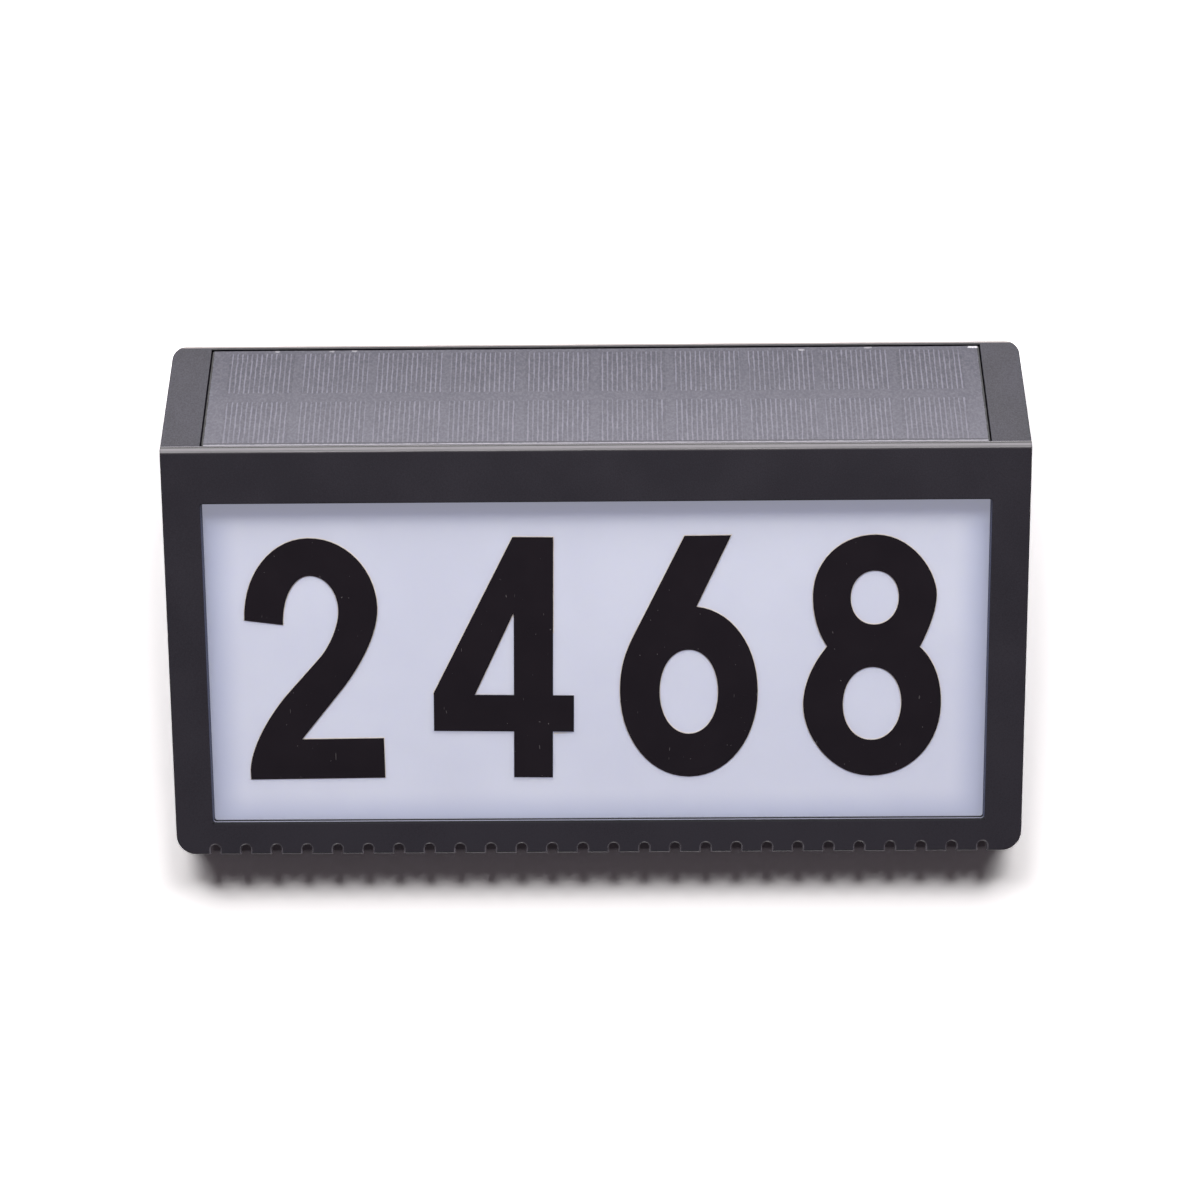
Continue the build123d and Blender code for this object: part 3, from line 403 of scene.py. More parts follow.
# Painted light: the front is painted a little lighter towards its lower edge.
share = calc(tree, "ADD", share, rise(tree, height, -92 * MM, 20 * MM, 0.16, 0.0))
colour = blend_colours(tree, rise(tree, share, 0.36, 0.72), tone(40, 37, 45), tone(53, 50, 58))
notch_turn = calc(tree, "FRACT", calc(tree, "DIVIDE", place.outputs["X"], NOTCH_PITCH))
beside = calc(tree, "MULTIPLY", calc(tree, "SUBTRACT", notch_turn, 0.5), NOTCH_PITCH)
over = calc(tree, "MAXIMUM", calc(tree, "SUBTRACT", NOTCH_CENTRE, down), 0.0)
from_notch = calc(tree, "SQRT", sum_of_squares(tree, beside, over))
# Painted highlight: the rims of the notches and the lower edge of the lip are painted pale where they mirror
# the bright table, broken up by noise.
on_rim = between(tree, from_notch, NOTCH_HALF - 0.2 * MM, NOTCH_HALF + 0.4 * MM, 0.1 * MM)
on_lip = rise(tree, down, 138 * MM, 138.5 * MM)
on_row = rise(tree, aside, NOTCHES_END, NOTCHES_END + 0.5 * MM, 1.0, 0.0)
rim_highlight = calc(tree, "MULTIPLY", calc(tree, "MULTIPLY", on_rim, on_lip), on_row)
lip_edge_highlight = rise(tree, down, LIP_END - 0.45 * MM, LIP_END - 0.3 * MM)
highlight_breakup = rise(tree, noise(tree, where, 3.0, 3.0), 0.3, 0.6, 0.45, 1.0)
highlit_edge = calc(tree, "MULTIPLY", calc(tree, "MAXIMUM", rim_highlight, lip_edge_highlight), highlight_breakup)
colour = blend_colours(tree, highlit_edge, colour, tone(108, 104, 112))
print("a notch every", NOTCH_PITCH / MM, "mm")

# %% Walls of the window
WINDOW_LOW = 131.5 * MM
SILL_NEAR = 1.45 * MM
SILL_FAR = 2.15 * MM
inner = rise(tree, depth, 0.3 * MM, 0.5 * MM)
# Painted light: the side walls of the window are painted blue for the light of the opal sheet.
painted_wall_light = calc(tree, "MULTIPLY", inner, between(tree, aside, 136.4 * MM, 137.1 * MM, 0.1 * MM))
colour = blend_colours(tree, painted_wall_light, colour, tone(54, 59, 88))
# Painted shade: the low wall of the window is painted dark.
in_window = rise(tree, aside, 136.7 * MM, 137.0 * MM, 1.0, 0.0)
at_low_edge = between(tree, down, WINDOW_LOW - 0.6 * MM, WINDOW_LOW + 0.3 * MM, 0.1 * MM)
shaded_low_wall = calc(tree, "MULTIPLY", in_window, at_low_edge)
colour = blend_colours(tree, shaded_low_wall, colour, tone(10, 10, 16))
# Painted reflection: a pale line in the low wall, for the lit sheet that it mirrors.
sill_reflection = calc(tree, "MULTIPLY", shaded_low_wall, between(tree, depth, SILL_NEAR, SILL_FAR, 0.1 * MM))
colour = blend_colours(tree, sill_reflection, colour, tone(132, 133, 150))
print("the pale line in the low wall is", round((SILL_FAR - SILL_NEAR) / MM, 2), "mm wide")

# %% Band along the ridge
# Painted sheen and highlight: the band is painted paler, and its last strip, where the ridge rounds over, is a
# painted highlight.
band = rise(tree, height, RIDGE_Z - 0.1 * MM, RIDGE_Z + 0.1 * MM)
along = add(tree, "Mapping", {"Vector": where, "Scale": (0.02, 1.0, 1.0)}).outputs[0]
streaks = rise(tree, noise(tree, along, 0.6, 2.0), 0.3, 0.7)
light_line = between(tree, height, RIDGE_Z + 1.25 * MM, RIDGE_Z + 1.95 * MM, 0.2 * MM)
dark_line = between(tree, height, RIDGE_Z + 2.05 * MM, RIDGE_Z + 2.40 * MM, 0.1 * MM)
ridge_highlight = rise(tree, height, RIDGE_Z + 2.52 * MM, RIDGE_Z + 2.62 * MM)
band_sheen = blend_colours(tree, streaks, tone(62, 59, 64), tone(84, 81, 86))
band_sheen = blend_colours(tree, light_line, band_sheen, tone(99, 96, 102))
band_sheen = blend_colours(tree, dark_line, band_sheen, tone(24, 23, 26))
band_sheen = blend_colours(tree, ridge_highlight, band_sheen, tone(182, 178, 188))
colour = blend_colours(tree, band, colour, band_sheen)
rough = add(tree, "Mix", {0: band, 2: rise(tree, grain, 0.3, 0.7, 0.55, 0.42), 3: 0.42}).outputs[0]
rough = add(tree, "Mix", {0: shaded_low_wall, 2: rough, 3: 0.95}).outputs[0]
end_finish(tree, Base_Color=colour, Roughness=rough, Normal=bump(tree, grain, 0.03))
finishes["frame_plastic"] = finish
print("the bezel's finish has", len(tree.nodes), "nodes")

# %% [markdown]
# ## The opal sheet
#
# The window is a sheet of opal acrylic in front of a white light box. Daylight enters the sheet, spreads in
# the box and comes out again everywhere, so even the strip in the bezel's shadow is never dark. Subsurface
# scattering makes the soft edge of that shadow. What the light box gives back can't be scattered through a
# thin sheet in a render of this kind, so it is written as a faint even glow, which is also what the lamps in
# the box do at dusk. Near the rim light is lost under the bezel: a mask from the distance to the window's
# edge makes the rim darker and bluer.

# %% Opal acrylic
WINDOW_HALF_X = 136.75 * MM
WINDOW_MID_Z = -22.2 * MM
WINDOW_HALF_Z = 56.1 * MM
finish, tree, where = start_finish("opal_acrylic")
place = add(tree, "SeparateXYZ", {0: where})
from_side = calc(tree, "SUBTRACT", WINDOW_HALF_X, calc(tree, "ABSOLUTE", place.outputs["X"]))
from_middle = calc(tree, "ABSOLUTE", calc(tree, "SUBTRACT", place.outputs["Z"], WINDOW_MID_Z))
from_end = calc(tree, "SUBTRACT", WINDOW_HALF_Z, from_middle)
inward = calc(tree, "MULTIPLY", rise(tree, from_side, -2 * MM, 13 * MM), rise(tree, from_end, -4 * MM, 11 * MM))
cloud = noise(tree, where, 45.0, 2.0)
middle = blend_colours(tree, rise(tree, cloud, 0.3, 0.7), tone(190, 193, 208), tone(196, 199, 213))
colour = blend_colours(tree, inward, tone(138, 147, 176), middle)
fine = noise(tree, where, 0.8, 2.0)
shader = end_finish(
    tree,
    Base_Color=colour,
    Roughness=rise(tree, fine, 0.3, 0.7, 0.30, 0.38),
    Normal=bump(tree, fine, 0.004),
    Subsurface_Weight=1.0,
    Subsurface_Radius=(1.0, 1.0, 1.2),
    Subsurface_Scale=7 * MM,
    Emission_Color=(0.252, 0.254, 0.296, 1.0),
    Emission_Strength=1.0,
)
finishes["opal_acrylic"] = finish
print("opal acrylic scatters over", round(shader.inputs["Subsurface Scale"].default_value * 1000, 1), "mm")

# %% [markdown]
# ## Solar cells
#
# The panel is two rows of ten cut cells. Silver fingers run up each cell, and they are drawn as narrow lines
# that repeat every 1.7 mm and stop short of the cell's edge. The laminate above them has a pebbled surface
# that bends the view, so the lines look slightly wavy: a little noise, drawn out along the lines, is added to
# their place before the pattern is made. The pattern is a function, because the sheet above needs it too.

# %% Where the cells lie
FINGER_PITCH = 1.725 * MM
CELL_PITCH = 26.2 * MM
FIRST_CELL_X = -117.9 * MM
LAST_CELL_END = -FIRST_CELL_X + CELL_PITCH / 2 - 0.4 * MM
UP_ROOF = math.sin(math.atan2(40.2, 25.6))
ROWS_UP_ROOF = ((4.6, 22.2), (26.4, 43.8))
ROWS = [[RIDGE_Z + end * UP_ROOF * MM for end in row] for row in ROWS_UP_ROOF]
print("the rows reach from z =", [[round(end / MM, 1) for end in row] for row in ROWS], "mm")


# %% Fingers on the cells
def fingers(tree, where):
    """Two masks of the panel: the silver fingers, and the part of each cell that they cover."""
    place = add(tree, "SeparateXYZ", {0: where})
    drawn_out = add(tree, "Mapping", {"Vector": where, "Scale": (1.0, 0.3, 0.3)}).outputs[0]
    wobble = calc(tree, "SUBTRACT", noise(tree, drawn_out, 1.3, 3.0, 0.7), 0.5)
    bent_x = calc(tree, "MULTIPLY_ADD", wobble, 0.8 * MM, place.outputs["X"])
    turn = calc(tree, "FRACT", calc(tree, "DIVIDE", bent_x, FINGER_PITCH))
    line = rise(tree, calc(tree, "ABSOLUTE", calc(tree, "SUBTRACT", turn, 0.5)), 0.07, 0.21, 1.0, 0.0)

    from_first = calc(tree, "SUBTRACT", place.outputs["X"], FIRST_CELL_X - CELL_PITCH / 2)
    cell_turn = calc(tree, "FRACT", calc(tree, "DIVIDE", from_first, CELL_PITCH))
    from_cell = calc(tree, "ABSOLUTE", calc(tree, "SUBTRACT", cell_turn, 0.5))
    aside = calc(tree, "ABSOLUTE", place.outputs["X"])
    on_cells = rise(tree, aside, LAST_CELL_END, LAST_CELL_END + 0.1 * MM, 1.0, 0.0)
    across = calc(tree, "MULTIPLY", rise(tree, from_cell, 0.435, 0.450, 1.0, 0.0), on_cells)

    ragged_z = calc(tree, "MULTIPLY_ADD", wobble, 1.2 * MM, place.outputs["Z"])
    lower_row, upper_row = [between(tree, ragged_z, low, high, 0.2 * MM) for low, high in ROWS]
    covered = calc(tree, "MULTIPLY", across, calc(tree, "MAXIMUM", lower_row, upper_row))
    patchy = rise(tree, noise(tree, drawn_out, 1.9, 3.0), 0.35, 0.6, 0.45, 1.0)
    return calc(tree, "MULTIPLY", calc(tree, "MULTIPLY", line, covered), patchy), covered


print("fingers per cell:", round(CELL_PITCH / FINGER_PITCH))

# %% Silicon
finish, tree, where = start_finish("silicon_cells")
silver, covered = fingers(tree, where)
silicon = blend_colours(tree, noise(tree, where, 6.0, 3.0), tone(30, 31, 52), tone(44, 45, 68))
colour = blend_colours(tree, silver, silicon, tone(206, 205, 208))
rough = calc(tree, "MULTIPLY_ADD", silver, 0.1, 0.35)
end_finish(tree, Base_Color=colour, Roughness=rough, Normal=bump(tree, silver, 0.02))
finishes["silicon_cells"] = finish
print("the cells' finish has", len(tree.nodes), "nodes")

# %% [markdown]
# ## The sheet over the cells
#
# The cells are laminated into a cheap clear resin sheet with a pebbled top. It is so hazy that the dark cells
# read as a mid grey, and only the fingers still show, as pale lines. Real haze of this kind renders slowly and
# is lost on export, so the sheet is opaque here and carries the softened pattern itself. The tops of the
# pebbles are painted paler as a painted glint, and the sheet is painted paler towards its lower edge. Its front
# edge is painted pale and frayed, with a darker line just behind it, the sides are dark with glue, and a few
# chips sit along the back edge. Each chip is a small oval whose rim is broken up by noise.

# %% Softened pattern under the sheet
SHEET_LOW_Z = 53.2 * MM
SHEET_HIGH_Z = 88.6 * MM
finish, tree, where = start_finish("panel_sheet")
place = add(tree, "SeparateXYZ", {0: where})
height = place.outputs["Z"]
silver, covered = fingers(tree, where)
cloudy = noise(tree, where, 6.0, 3.0)
between_fingers = blend_colours(tree, cloudy, tone(48, 47, 60), tone(57, 56, 69))
round_cells = blend_colours(tree, cloudy, tone(57, 56, 69), tone(65, 64, 77))
colour = blend_colours(tree, covered, round_cells, between_fingers)
colour = blend_colours(tree, silver, colour, tone(95, 93, 108))
# Painted glint: the tops of the pebbles are painted paler, and the sheet is painted paler towards its lower
# edge.
pebbles = noise(tree, where, 0.9, 3.0, 0.65)
paler_below = rise(tree, height, SHEET_LOW_Z, SHEET_HIGH_Z, 0.14, 0.0)
haze_and_glint = calc(tree, "MULTIPLY_ADD", rise(tree, pebbles, 0.35, 0.75), 0.1, paler_below)
colour = blend_colours(tree, haze_and_glint, colour, tone(149, 147, 160))
print("the sheet reaches from", SHEET_LOW_Z / MM, "to", SHEET_HIGH_Z / MM, "mm")

# %% Edges of the sheet
GLUE_LINE_X = 135.2 * MM
fray = calc(tree, "SUBTRACT", noise(tree, where, 1.6, 4.0, 0.7), 0.5)
frayed_z = calc(tree, "MULTIPLY_ADD", fray, 0.5 * MM, height)
frayed_x = calc(tree, "MULTIPLY_ADD", fray, 0.9 * MM, calc(tree, "ABSOLUTE", place.outputs["X"]))
under_edge = between(tree, frayed_z, SHEET_LOW_Z + 0.55 * MM, SHEET_LOW_Z + 0.85 * MM, 0.15 * MM)
cut_edge = rise(tree, frayed_z, SHEET_LOW_Z + 0.25 * MM, SHEET_LOW_Z + 0.40 * MM, 1.0, 0.0)
glued_side = rise(tree, frayed_x, GLUE_LINE_X, GLUE_LINE_X + 0.15 * MM)
colour = blend_colours(tree, calc(tree, "MULTIPLY", under_edge, 0.6), colour, tone(40, 39, 47))
colour = blend_colours(tree, cut_edge, colour, tone(146, 144, 153))
colour = blend_colours(tree, glued_side, colour, tone(18, 17, 21))
print("glue from", GLUE_LINE_X / MM, "mm outwards")

# %% Chips along the back edge
CHIP_HALF_HEIGHT = 0.42 * MM
CHIPS = [  # across and below the back edge, half width, all in mm, and how white
    (73.0, 1.0, 1.3, 0.3),
    (96.3, 0.4, 1.9, 0.3),
    (133.6, 0.5, 2.3, 0.9),
    (-113.0, 0.4, 1.0, 0.25),
    (-93.5, 0.4, 1.2, 0.25),
    (-85.5, 0.3, 1.2, 0.3),
]
for across, drop, wide, strong in CHIPS:
    sideways = calc(tree, "DIVIDE", calc(tree, "SUBTRACT", place.outputs["X"], across * MM), wide * MM)
    upward = calc(tree, "SUBTRACT", height, SHEET_HIGH_Z - drop * MM)
    reach = sum_of_squares(tree, sideways, calc(tree, "DIVIDE", upward, CHIP_HALF_HEIGHT))
    chip = rise(tree, calc(tree, "MULTIPLY_ADD", fray, 4.5, reach), 0.3, 0.9, strong, 0.0)
    colour = blend_colours(tree, chip, colour, tone(206, 203, 210))
rough = rise(tree, pebbles, 0.3, 0.7, 0.64, 0.5)
end_finish(tree, Base_Color=colour, Roughness=rough, Normal=bump(tree, pebbles, 0.06))
finishes["panel_sheet"] = finish
print("chips along the back edge:", len(CHIPS))

# %% [markdown]
# ## Metals
#
# The screws are zinc plated steel, the battery strips are nickel and the capacitor is an aluminium can. All
# three are bright metals with fine scratches and slight stains, so they share one recipe: a metallic base,
# a roughness that follows stretched noise, and a shallow bump.

# %% Metal recipe
def metal(name, dull, bright, along=(1.0, 1.0, 1.0)):
    """A bright metal with scratches that are stretched where along is small."""
    finish, tree, where = start_finish(name)
    stretched = add(tree, "Mapping", {"Vector": where, "Scale": along}).outputs[0]
    scratch = noise(tree, stretched, 0.35, 4.0, 0.7)
    stain = noise(tree, where, 4.0, 3.0)
    share = calc(tree, "MULTIPLY_ADD", scratch, 0.4, calc(tree, "MULTIPLY", stain, 0.6))
    colour = blend_colours(tree, rise(tree, share, 0.34, 0.66), dull, bright)
    rough = rise(tree, scratch, 0.3, 0.7, 0.42, 0.24)
    end_finish(tree, Base_Color=colour, Roughness=rough, Metallic=1.0, Normal=bump(tree, scratch, 0.006))
    return finish


finishes["zinc_screws"] = metal("zinc_screws", tone(150, 150, 152), tone(192, 193, 196))
finishes["nickel_strip"] = metal("nickel_strip", tone(168, 163, 152), tone(205, 200, 190), (1.0, 1.0, 0.1))
finishes["capacitor_can"] = metal("capacitor_can", tone(170, 172, 176), tone(206, 208, 211), (1.0, 0.2, 1.0))
print("metals:", list(finishes)[-3:])

# %% [markdown]
# ## Circuit boards
#
# A board is glass fibre under a coloured lacquer. Copper tracks below the lacquer show as slightly raised,
# lighter lines. A brick pattern makes lines that run straight and turn at right angles, which reads as
# tracks at this size, and fine noise gives the lacquer its orange peel.

# %% Board recipe
def board(name, lacquer, track, track_mm=1.6):
    """A lacquered board with tracks under the lacquer."""
    finish, tree, where = start_finish(name)
    flat = add(tree, "SeparateXYZ", {0: where})
    face = add(tree, "CombineXYZ", {0: flat.outputs["X"], 1: flat.outputs["Z"], 2: 0.0}).outputs[0]
    sizes = {"Mortar Size": 0.12 * MM, "Brick Width": 4 * track_mm * MM, "Row Height": track_mm * MM}
    bricks = add(tree, "TexBrick", {"Vector": face, "Scale": 1.0, **sizes}).outputs["Fac"]
    peel = noise(tree, where, 0.7, 2.0)
    patch = rise(tree, noise(tree, where, 7.0, 1.0), 0.48, 0.52)
    tracks = calc(tree, "MULTIPLY", bricks, patch)
    shaded = (*(0.82 * channel for channel in lacquer[:3]), 1.0)
    colour = blend_colours(tree, tracks, blend_colours(tree, peel, lacquer, shaded), track)
    rough = rise(tree, peel, 0.3, 0.7, 0.34, 0.26)
    end_finish(tree, Base_Color=colour, Roughness=rough, Normal=bump(tree, tracks, 0.02))
    return finish


finishes["green_board"] = board("green_board", tone(22, 84, 46), tone(58, 132, 78))
finishes["white_board"] = board("white_board", tone(232, 232, 228), tone(206, 205, 196), 3.0)
finishes["black_board"] = board("black_board", tone(104, 103, 118), tone(112, 111, 126), 3.0)
print("boards:", [name for name in finishes if "board" in name])

# %% [markdown]
# ## Foam, ferrite, sleeve, lenses and wires
#
# The hidden parts get the same care. Foam is full of small cells, so a Voronoi pattern gives it pits.
# Ferrite is a sintered, faintly speckled black. The battery wears a shrink sleeve with slight ripples. The
# LEDs have a yellow phosphor under a soft lens. Wire insulation is glossy and nearly even, with a bump so
# faint that it only breaks the highlights.

# %% Foam
FOAM_PITS = 1600.0  # in a metre
finish, tree, where = start_finish("black_foam")
cells = add(tree, "TexVoronoi", {"Vector": where, "Scale": FOAM_PITS}).outputs["Distance"]
colour = blend_colours(tree, rise(tree, cells, 0.1, 0.5), tone(12, 12, 13), tone(32, 31, 33))
rough = rise(tree, cells, 0.0, 0.6, 0.95, 0.8)
end_finish(tree, Base_Color=colour, Roughness=rough, Normal=bump(tree, cells, 0.15))
finishes["black_foam"] = finish
print("foam has a pit every", round(1000 / FOAM_PITS, 2), "mm")

# %% Ferrite, battery sleeve and LED lenses
finishes["ferrite"] = moulded("ferrite", tone(38, 37, 38), tone(66, 64, 64), 0.25, 0.02, (0.55, 0.7))

finish, tree, where = start_finish("battery_sleeve")
along = add(tree, "Mapping", {"Vector": where, "Scale": (0.25, 1.0, 1.0)}).outputs[0]
ripple = noise(tree, along, 3.0, 2.0)
colour = blend_colours(tree, ripple, tone(34, 92, 158), tone(46, 110, 180))
rough = rise(tree, ripple, 0.3, 0.7, 0.3, 0.2)
end_finish(tree, Base_Color=colour, Roughness=rough, Normal=bump(tree, ripple, 0.05))
finishes["battery_sleeve"] = finish

finish, tree, where = start_finish("led_lens")
phosphor = noise(tree, where, 1.2, 2.0)
colour = blend_colours(tree, rise(tree, phosphor, 0.35, 0.65), tone(238, 208, 96), tone(246, 226, 140))
rough = rise(tree, phosphor, 0.3, 0.7, 0.22, 0.32)
end_finish(tree, Base_Color=colour, Roughness=rough, Subsurface_Weight=0.2, Subsurface_Scale=0.5 * MM)
finishes["led_lens"] = finish
print("small parts:", list(finishes)[-3:])

# %% Wire insulation
def insulation(name, deep, pale):
    """Glossy soft plastic round a wire."""
    finish, tree, where = start_finish(name)
    skin = noise(tree, where, 1.5, 3.0)
    colour = blend_colours(tree, rise(tree, skin, 0.3, 0.7), deep, pale)
    rough = rise(tree, skin, 0.3, 0.7, 0.38, 0.28)
    end_finish(tree, Base_Color=colour, Roughness=rough, Normal=bump(tree, skin, 0.01))
    return finish


finishes["red_insulation"] = insulation("red_insulation", tone(150, 22, 20), tone(176, 34, 30))
finishes["black_insulation"] = insulation("black_insulation", tone(24, 24, 25), tone(36, 36, 37))
print(len(finishes), "finishes")

# %% [markdown]
# ## Giving each solid its finish
#
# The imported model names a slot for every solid, so one loop hands out the finishes. The loop stops with a
# plain message if a slot has none, which catches a spelling slip at once.

# %% Hand out the finishes
for name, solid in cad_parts.items():
    for material_slot in solid.material_slots:
        wanted = material_slot.material.name.split(".")[0]
        assert wanted in finishes, f"{name} asks for {wanted}, which has no finish"
        material_slot.material = finishes[wanted]
print("dressed", len(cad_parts), "solids")

# %% [markdown]
# ## The stick-on numerals
#
# The numerals are cut from glossy black film and stuck on the opal sheet by hand, so each sits a little
# crooked. Their outlines have straight strokes and full bowls, which is what Bezier curves are made for. Each
# outline is a list of points: two numbers are a sharp corner, four add the handle that leads out of a smooth
# point and is mirrored where the line comes in, and six give the handles in and out one by one. Inner
# outlines cut holes when a flat curve is filled. The number 2468 is only an example: an owner sticks on
# their own.

# %% Outlines in millimetres
def bowl(middle_x, middle_y, half_x, half_y, fullness=0.58):
    """A closed oval of four smooth points."""
    return [
        (middle_x, middle_y + half_y, half_x * fullness, 0),
        (middle_x + half_x, middle_y, 0, -half_y * fullness),
        (middle_x, middle_y - half_y, -half_x * fullness, 0),
        (middle_x - half_x, middle_y, 0, half_y * fullness),
    ]


outlines = {
    "2": [
        [
            (-23.8, 14.4, 0, 0, 0, 16.0),
            (-0.4, 43.1, 13.2, 0),
            (23.0, 18.2, 0, 13.4, 0, -10.5),
            (8.3, -12.4, 6.2, 7.2, 0, 0),
            (-5.3, -28.8),
            (23.7, -28.8),
            (23.7, -43.1),
            (-24.0, -43.1),
            (-24.0, -39.6, 0, 0, 0.6, 8.6),
            (-9.6, -12.2, -6.5, -7.2, 0, 0),
            (2.2, 0.6, 0, 0, 3.2, 3.6),
            (9.3, 17.6, 0, -6.0, 0, 6.8),
            (-0.4, 29.9, 5.4, 0, -5.6, 0),
            (-10.3, 12.6, 0, 9.4, 0, 0),
        ],
    ],
    "4": [
        [
            (3.4, -43.1),
            (17.2, -43.1),
            (17.2, -26.4),
            (24.6, -26.4),
            (24.6, -13.2),
            (17.2, -13.2),
            (17.2, 43.1),
            (3.0, 43.1),
            (-24.9, -12.6),
            (-24.9, -26.4),
            (3.4, -26.4),
        ],
        [(3.4, -13.2), (-10.4, -13.2), (3.4, 16.4)],
    ],
    "6": [
        [
            (-1.1, 43.1),
            (15.1, 43.1),
            (2.9, 18.0, 0, 0, 12.4, -1.4),
            (24.25, -12.4, 0, 16.4, 0, -17.2),
            (0, -43.1, -13.8, 0),
            (-24.25, -12.4, 0, -17.2, 0, 8.6),
            (-19.2, 8.0, -3.2, -6.2, 0, 0),
        ],
        bowl(0, -12.4, 10.3, 15.2),
    ],
    "8": [
        [
            (0, 43.1, 12.6, 0),
            (21.6, 21.8, 0, -8.2),
            (16.2, 3.4),
            (24.25, -17.2, 0, -14.8),
            (0, -43.1, -14.0, 0),
            (-24.25, -17.2, 0, 11.5),
            (-16.2, 3.4),
            (-21.6, 21.8, 0, 11.8),
        ],
        bowl(0, 20.9, 8.4, 9.6),
        bowl(0, -17.0, 10.3, 13.2),
    ],
}
print("outlines of each numeral:", {numeral: len(lines) for numeral, lines in outlines.items()})

# %% [markdown]
# ## From outline to a piece of film
#
# A flat curve in Blender is filled, extruded and bevelled by itself. Offset moves the outline in by the
# bevel, so that the rounded edge doesn't make the numeral wider. The curve is drawn in millimetres, because
# filling works poorly on very small numbers, and turned into a mesh before it is brought to size and place.
# Its front stays flat shaded, because smooth shading would lean the front's long triangles towards the edge.
# Film this thin has a pale layer of glue below it that shows as a hairline round every numeral, so a second,
# thinner and slightly larger copy is made.

# %% Curve to mesh
def cut_film(lines, thickness, offset, edge):
    """A flat mesh from outlines in millimetres, with its back on z = 0."""
    curve = bpy.data.curves.new("outline", "CURVE")
    curve.dimensions = "2D"
    curve.fill_mode = "BOTH"
    curve.resolution_u = 14
    curve.extrude = thickness / 2 - edge
    curve.bevel_depth = edge
    curve.bevel_resolution = 2
    curve.offset = offset - edge
    for points in lines:
        spline = curve.splines.new("BEZIER")
        spline.bezier_points.add(len(points) - 1)
        spline.use_cyclic_u = True
        for knot, point in zip(spline.bezier_points, points):
            centre = Vector((point[0], point[1], 0))
            handles = point[2:]
            lead_out = Vector((*handles[-2:], 0)) if handles else Vector((0, 0, 0))
            lead_in = Vector((*handles[:2], 0)) if len(handles) == 4 else -lead_out
            knot.handle_left_type = knot.handle_right_type = "FREE"
            knot.co = centre
            knot.handle_right = centre + lead_out
            knot.handle_left = centre + lead_in
    holder = bpy.data.objects.new("outline", curve)
    scene.collection.objects.link(holder)
    bpy.context.view_layer.update()
    mesh = bpy.data.meshes.new_from_object(holder)
    bpy.data.objects.remove(holder)
    bpy.data.curves.remove(curve)
    mesh.transform(Matrix.Translation((0, 0, thickness / 2)))
    return mesh


FLAT_ABOVE = math.radians(30)


def settle(name, mesh, place, finish, flat_front=False):
    """Clean a mesh in millimetres, bring it to its place in metres and make it a piece of the sign."""
    bm = bmesh.new()
    bm.from_mesh(mesh)
    bmesh.ops.remove_doubles(bm, verts=bm.verts, dist=0.002)
    bmesh.ops.recalc_face_normals(bm, faces=bm.faces)
    smooth = [not (flat_front and abs(face.normal.z) > 0.99) for face in bm.faces]
    bm.to_mesh(mesh)
    bm.free()
    mesh.transform(place @ Matrix.Scale(MM, 4))
    mesh.set_sharp_from_angle(angle=FLAT_ABOVE)
    mesh.polygons.foreach_set("use_smooth", smooth)
    mesh.name = name
    mesh.materials.clear()
    mesh.materials.append(finish)
    made = bpy.data.objects.new(name, mesh)
    scene.collection.objects.link(made)
    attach(made, "sign")
    print(name, [round(side * 1000, 1) for side in made.dimensions], "mm")
    return made


# %% [markdown]
# ## Black film and its glue
#
# The film is smooth vinyl. It mirrors the dark room, and what shows on it is what settled there: a few dust
# specks and some hair scratches. Specks are the highest peaks of a fine noise. Scratches are noise that is
# turned and stretched until only thin slanting lines pass the threshold.

# %% Film and glue finishes
finish, tree, where = start_finish("numeral_film")
speck = rise(tree, noise(tree, where, 1.2, 2.0), 0.745, 0.79)
turned = {"Vector": where, "Rotation": (0.0, 0.9, 0.0), "Scale": (1.0, 1.0, 0.045)}
slanted = add(tree, "Mapping", turned).outputs[0]
scratch = rise(tree, noise(tree, slanted, 1.1, 1.0), 0.775, 0.80)
marks = calc(tree, "MAXIMUM", speck, calc(tree, "MULTIPLY", scratch, 0.5))
soft = noise(tree, where, 14.0, 2.0)
black = blend_colours(tree, soft, tone(31, 26, 32), tone(37, 31, 37))
colour = blend_colours(tree, marks, black, tone(104, 100, 102))
rough = calc(tree, "MULTIPLY_ADD", marks, 0.3, rise(tree, soft, 0.3, 0.7, 0.16, 0.24))
end_finish(tree, Base_Color=colour, Roughness=rough, Normal=bump(tree, soft, 0.02))
finishes["numeral_film"] = finish

finish, tree, where = start_finish("numeral_glue")
ooze = noise(tree, where, 2.0, 2.0)
colour = blend_colours(tree, rise(tree, ooze, 0.3, 0.7), tone(236, 226, 222), tone(250, 244, 240))
rough = rise(tree, ooze, 0.3, 0.7, 0.4, 0.3)
end_finish(tree, Base_Color=colour, Roughness=rough, Normal=bump(tree, ooze, 0.01))
finishes["numeral_glue"] = finish
print(len(finishes), "finishes")

# %% [markdown]
# ## Sticking the numerals on
#
# The front leans out by about ten degrees, so the numerals are placed in the plane of the front: right along
# x, up along the front, and out along its normal, measured from the middle of the ridge. The opal sheet lies
# 4.2 mm behind the front.

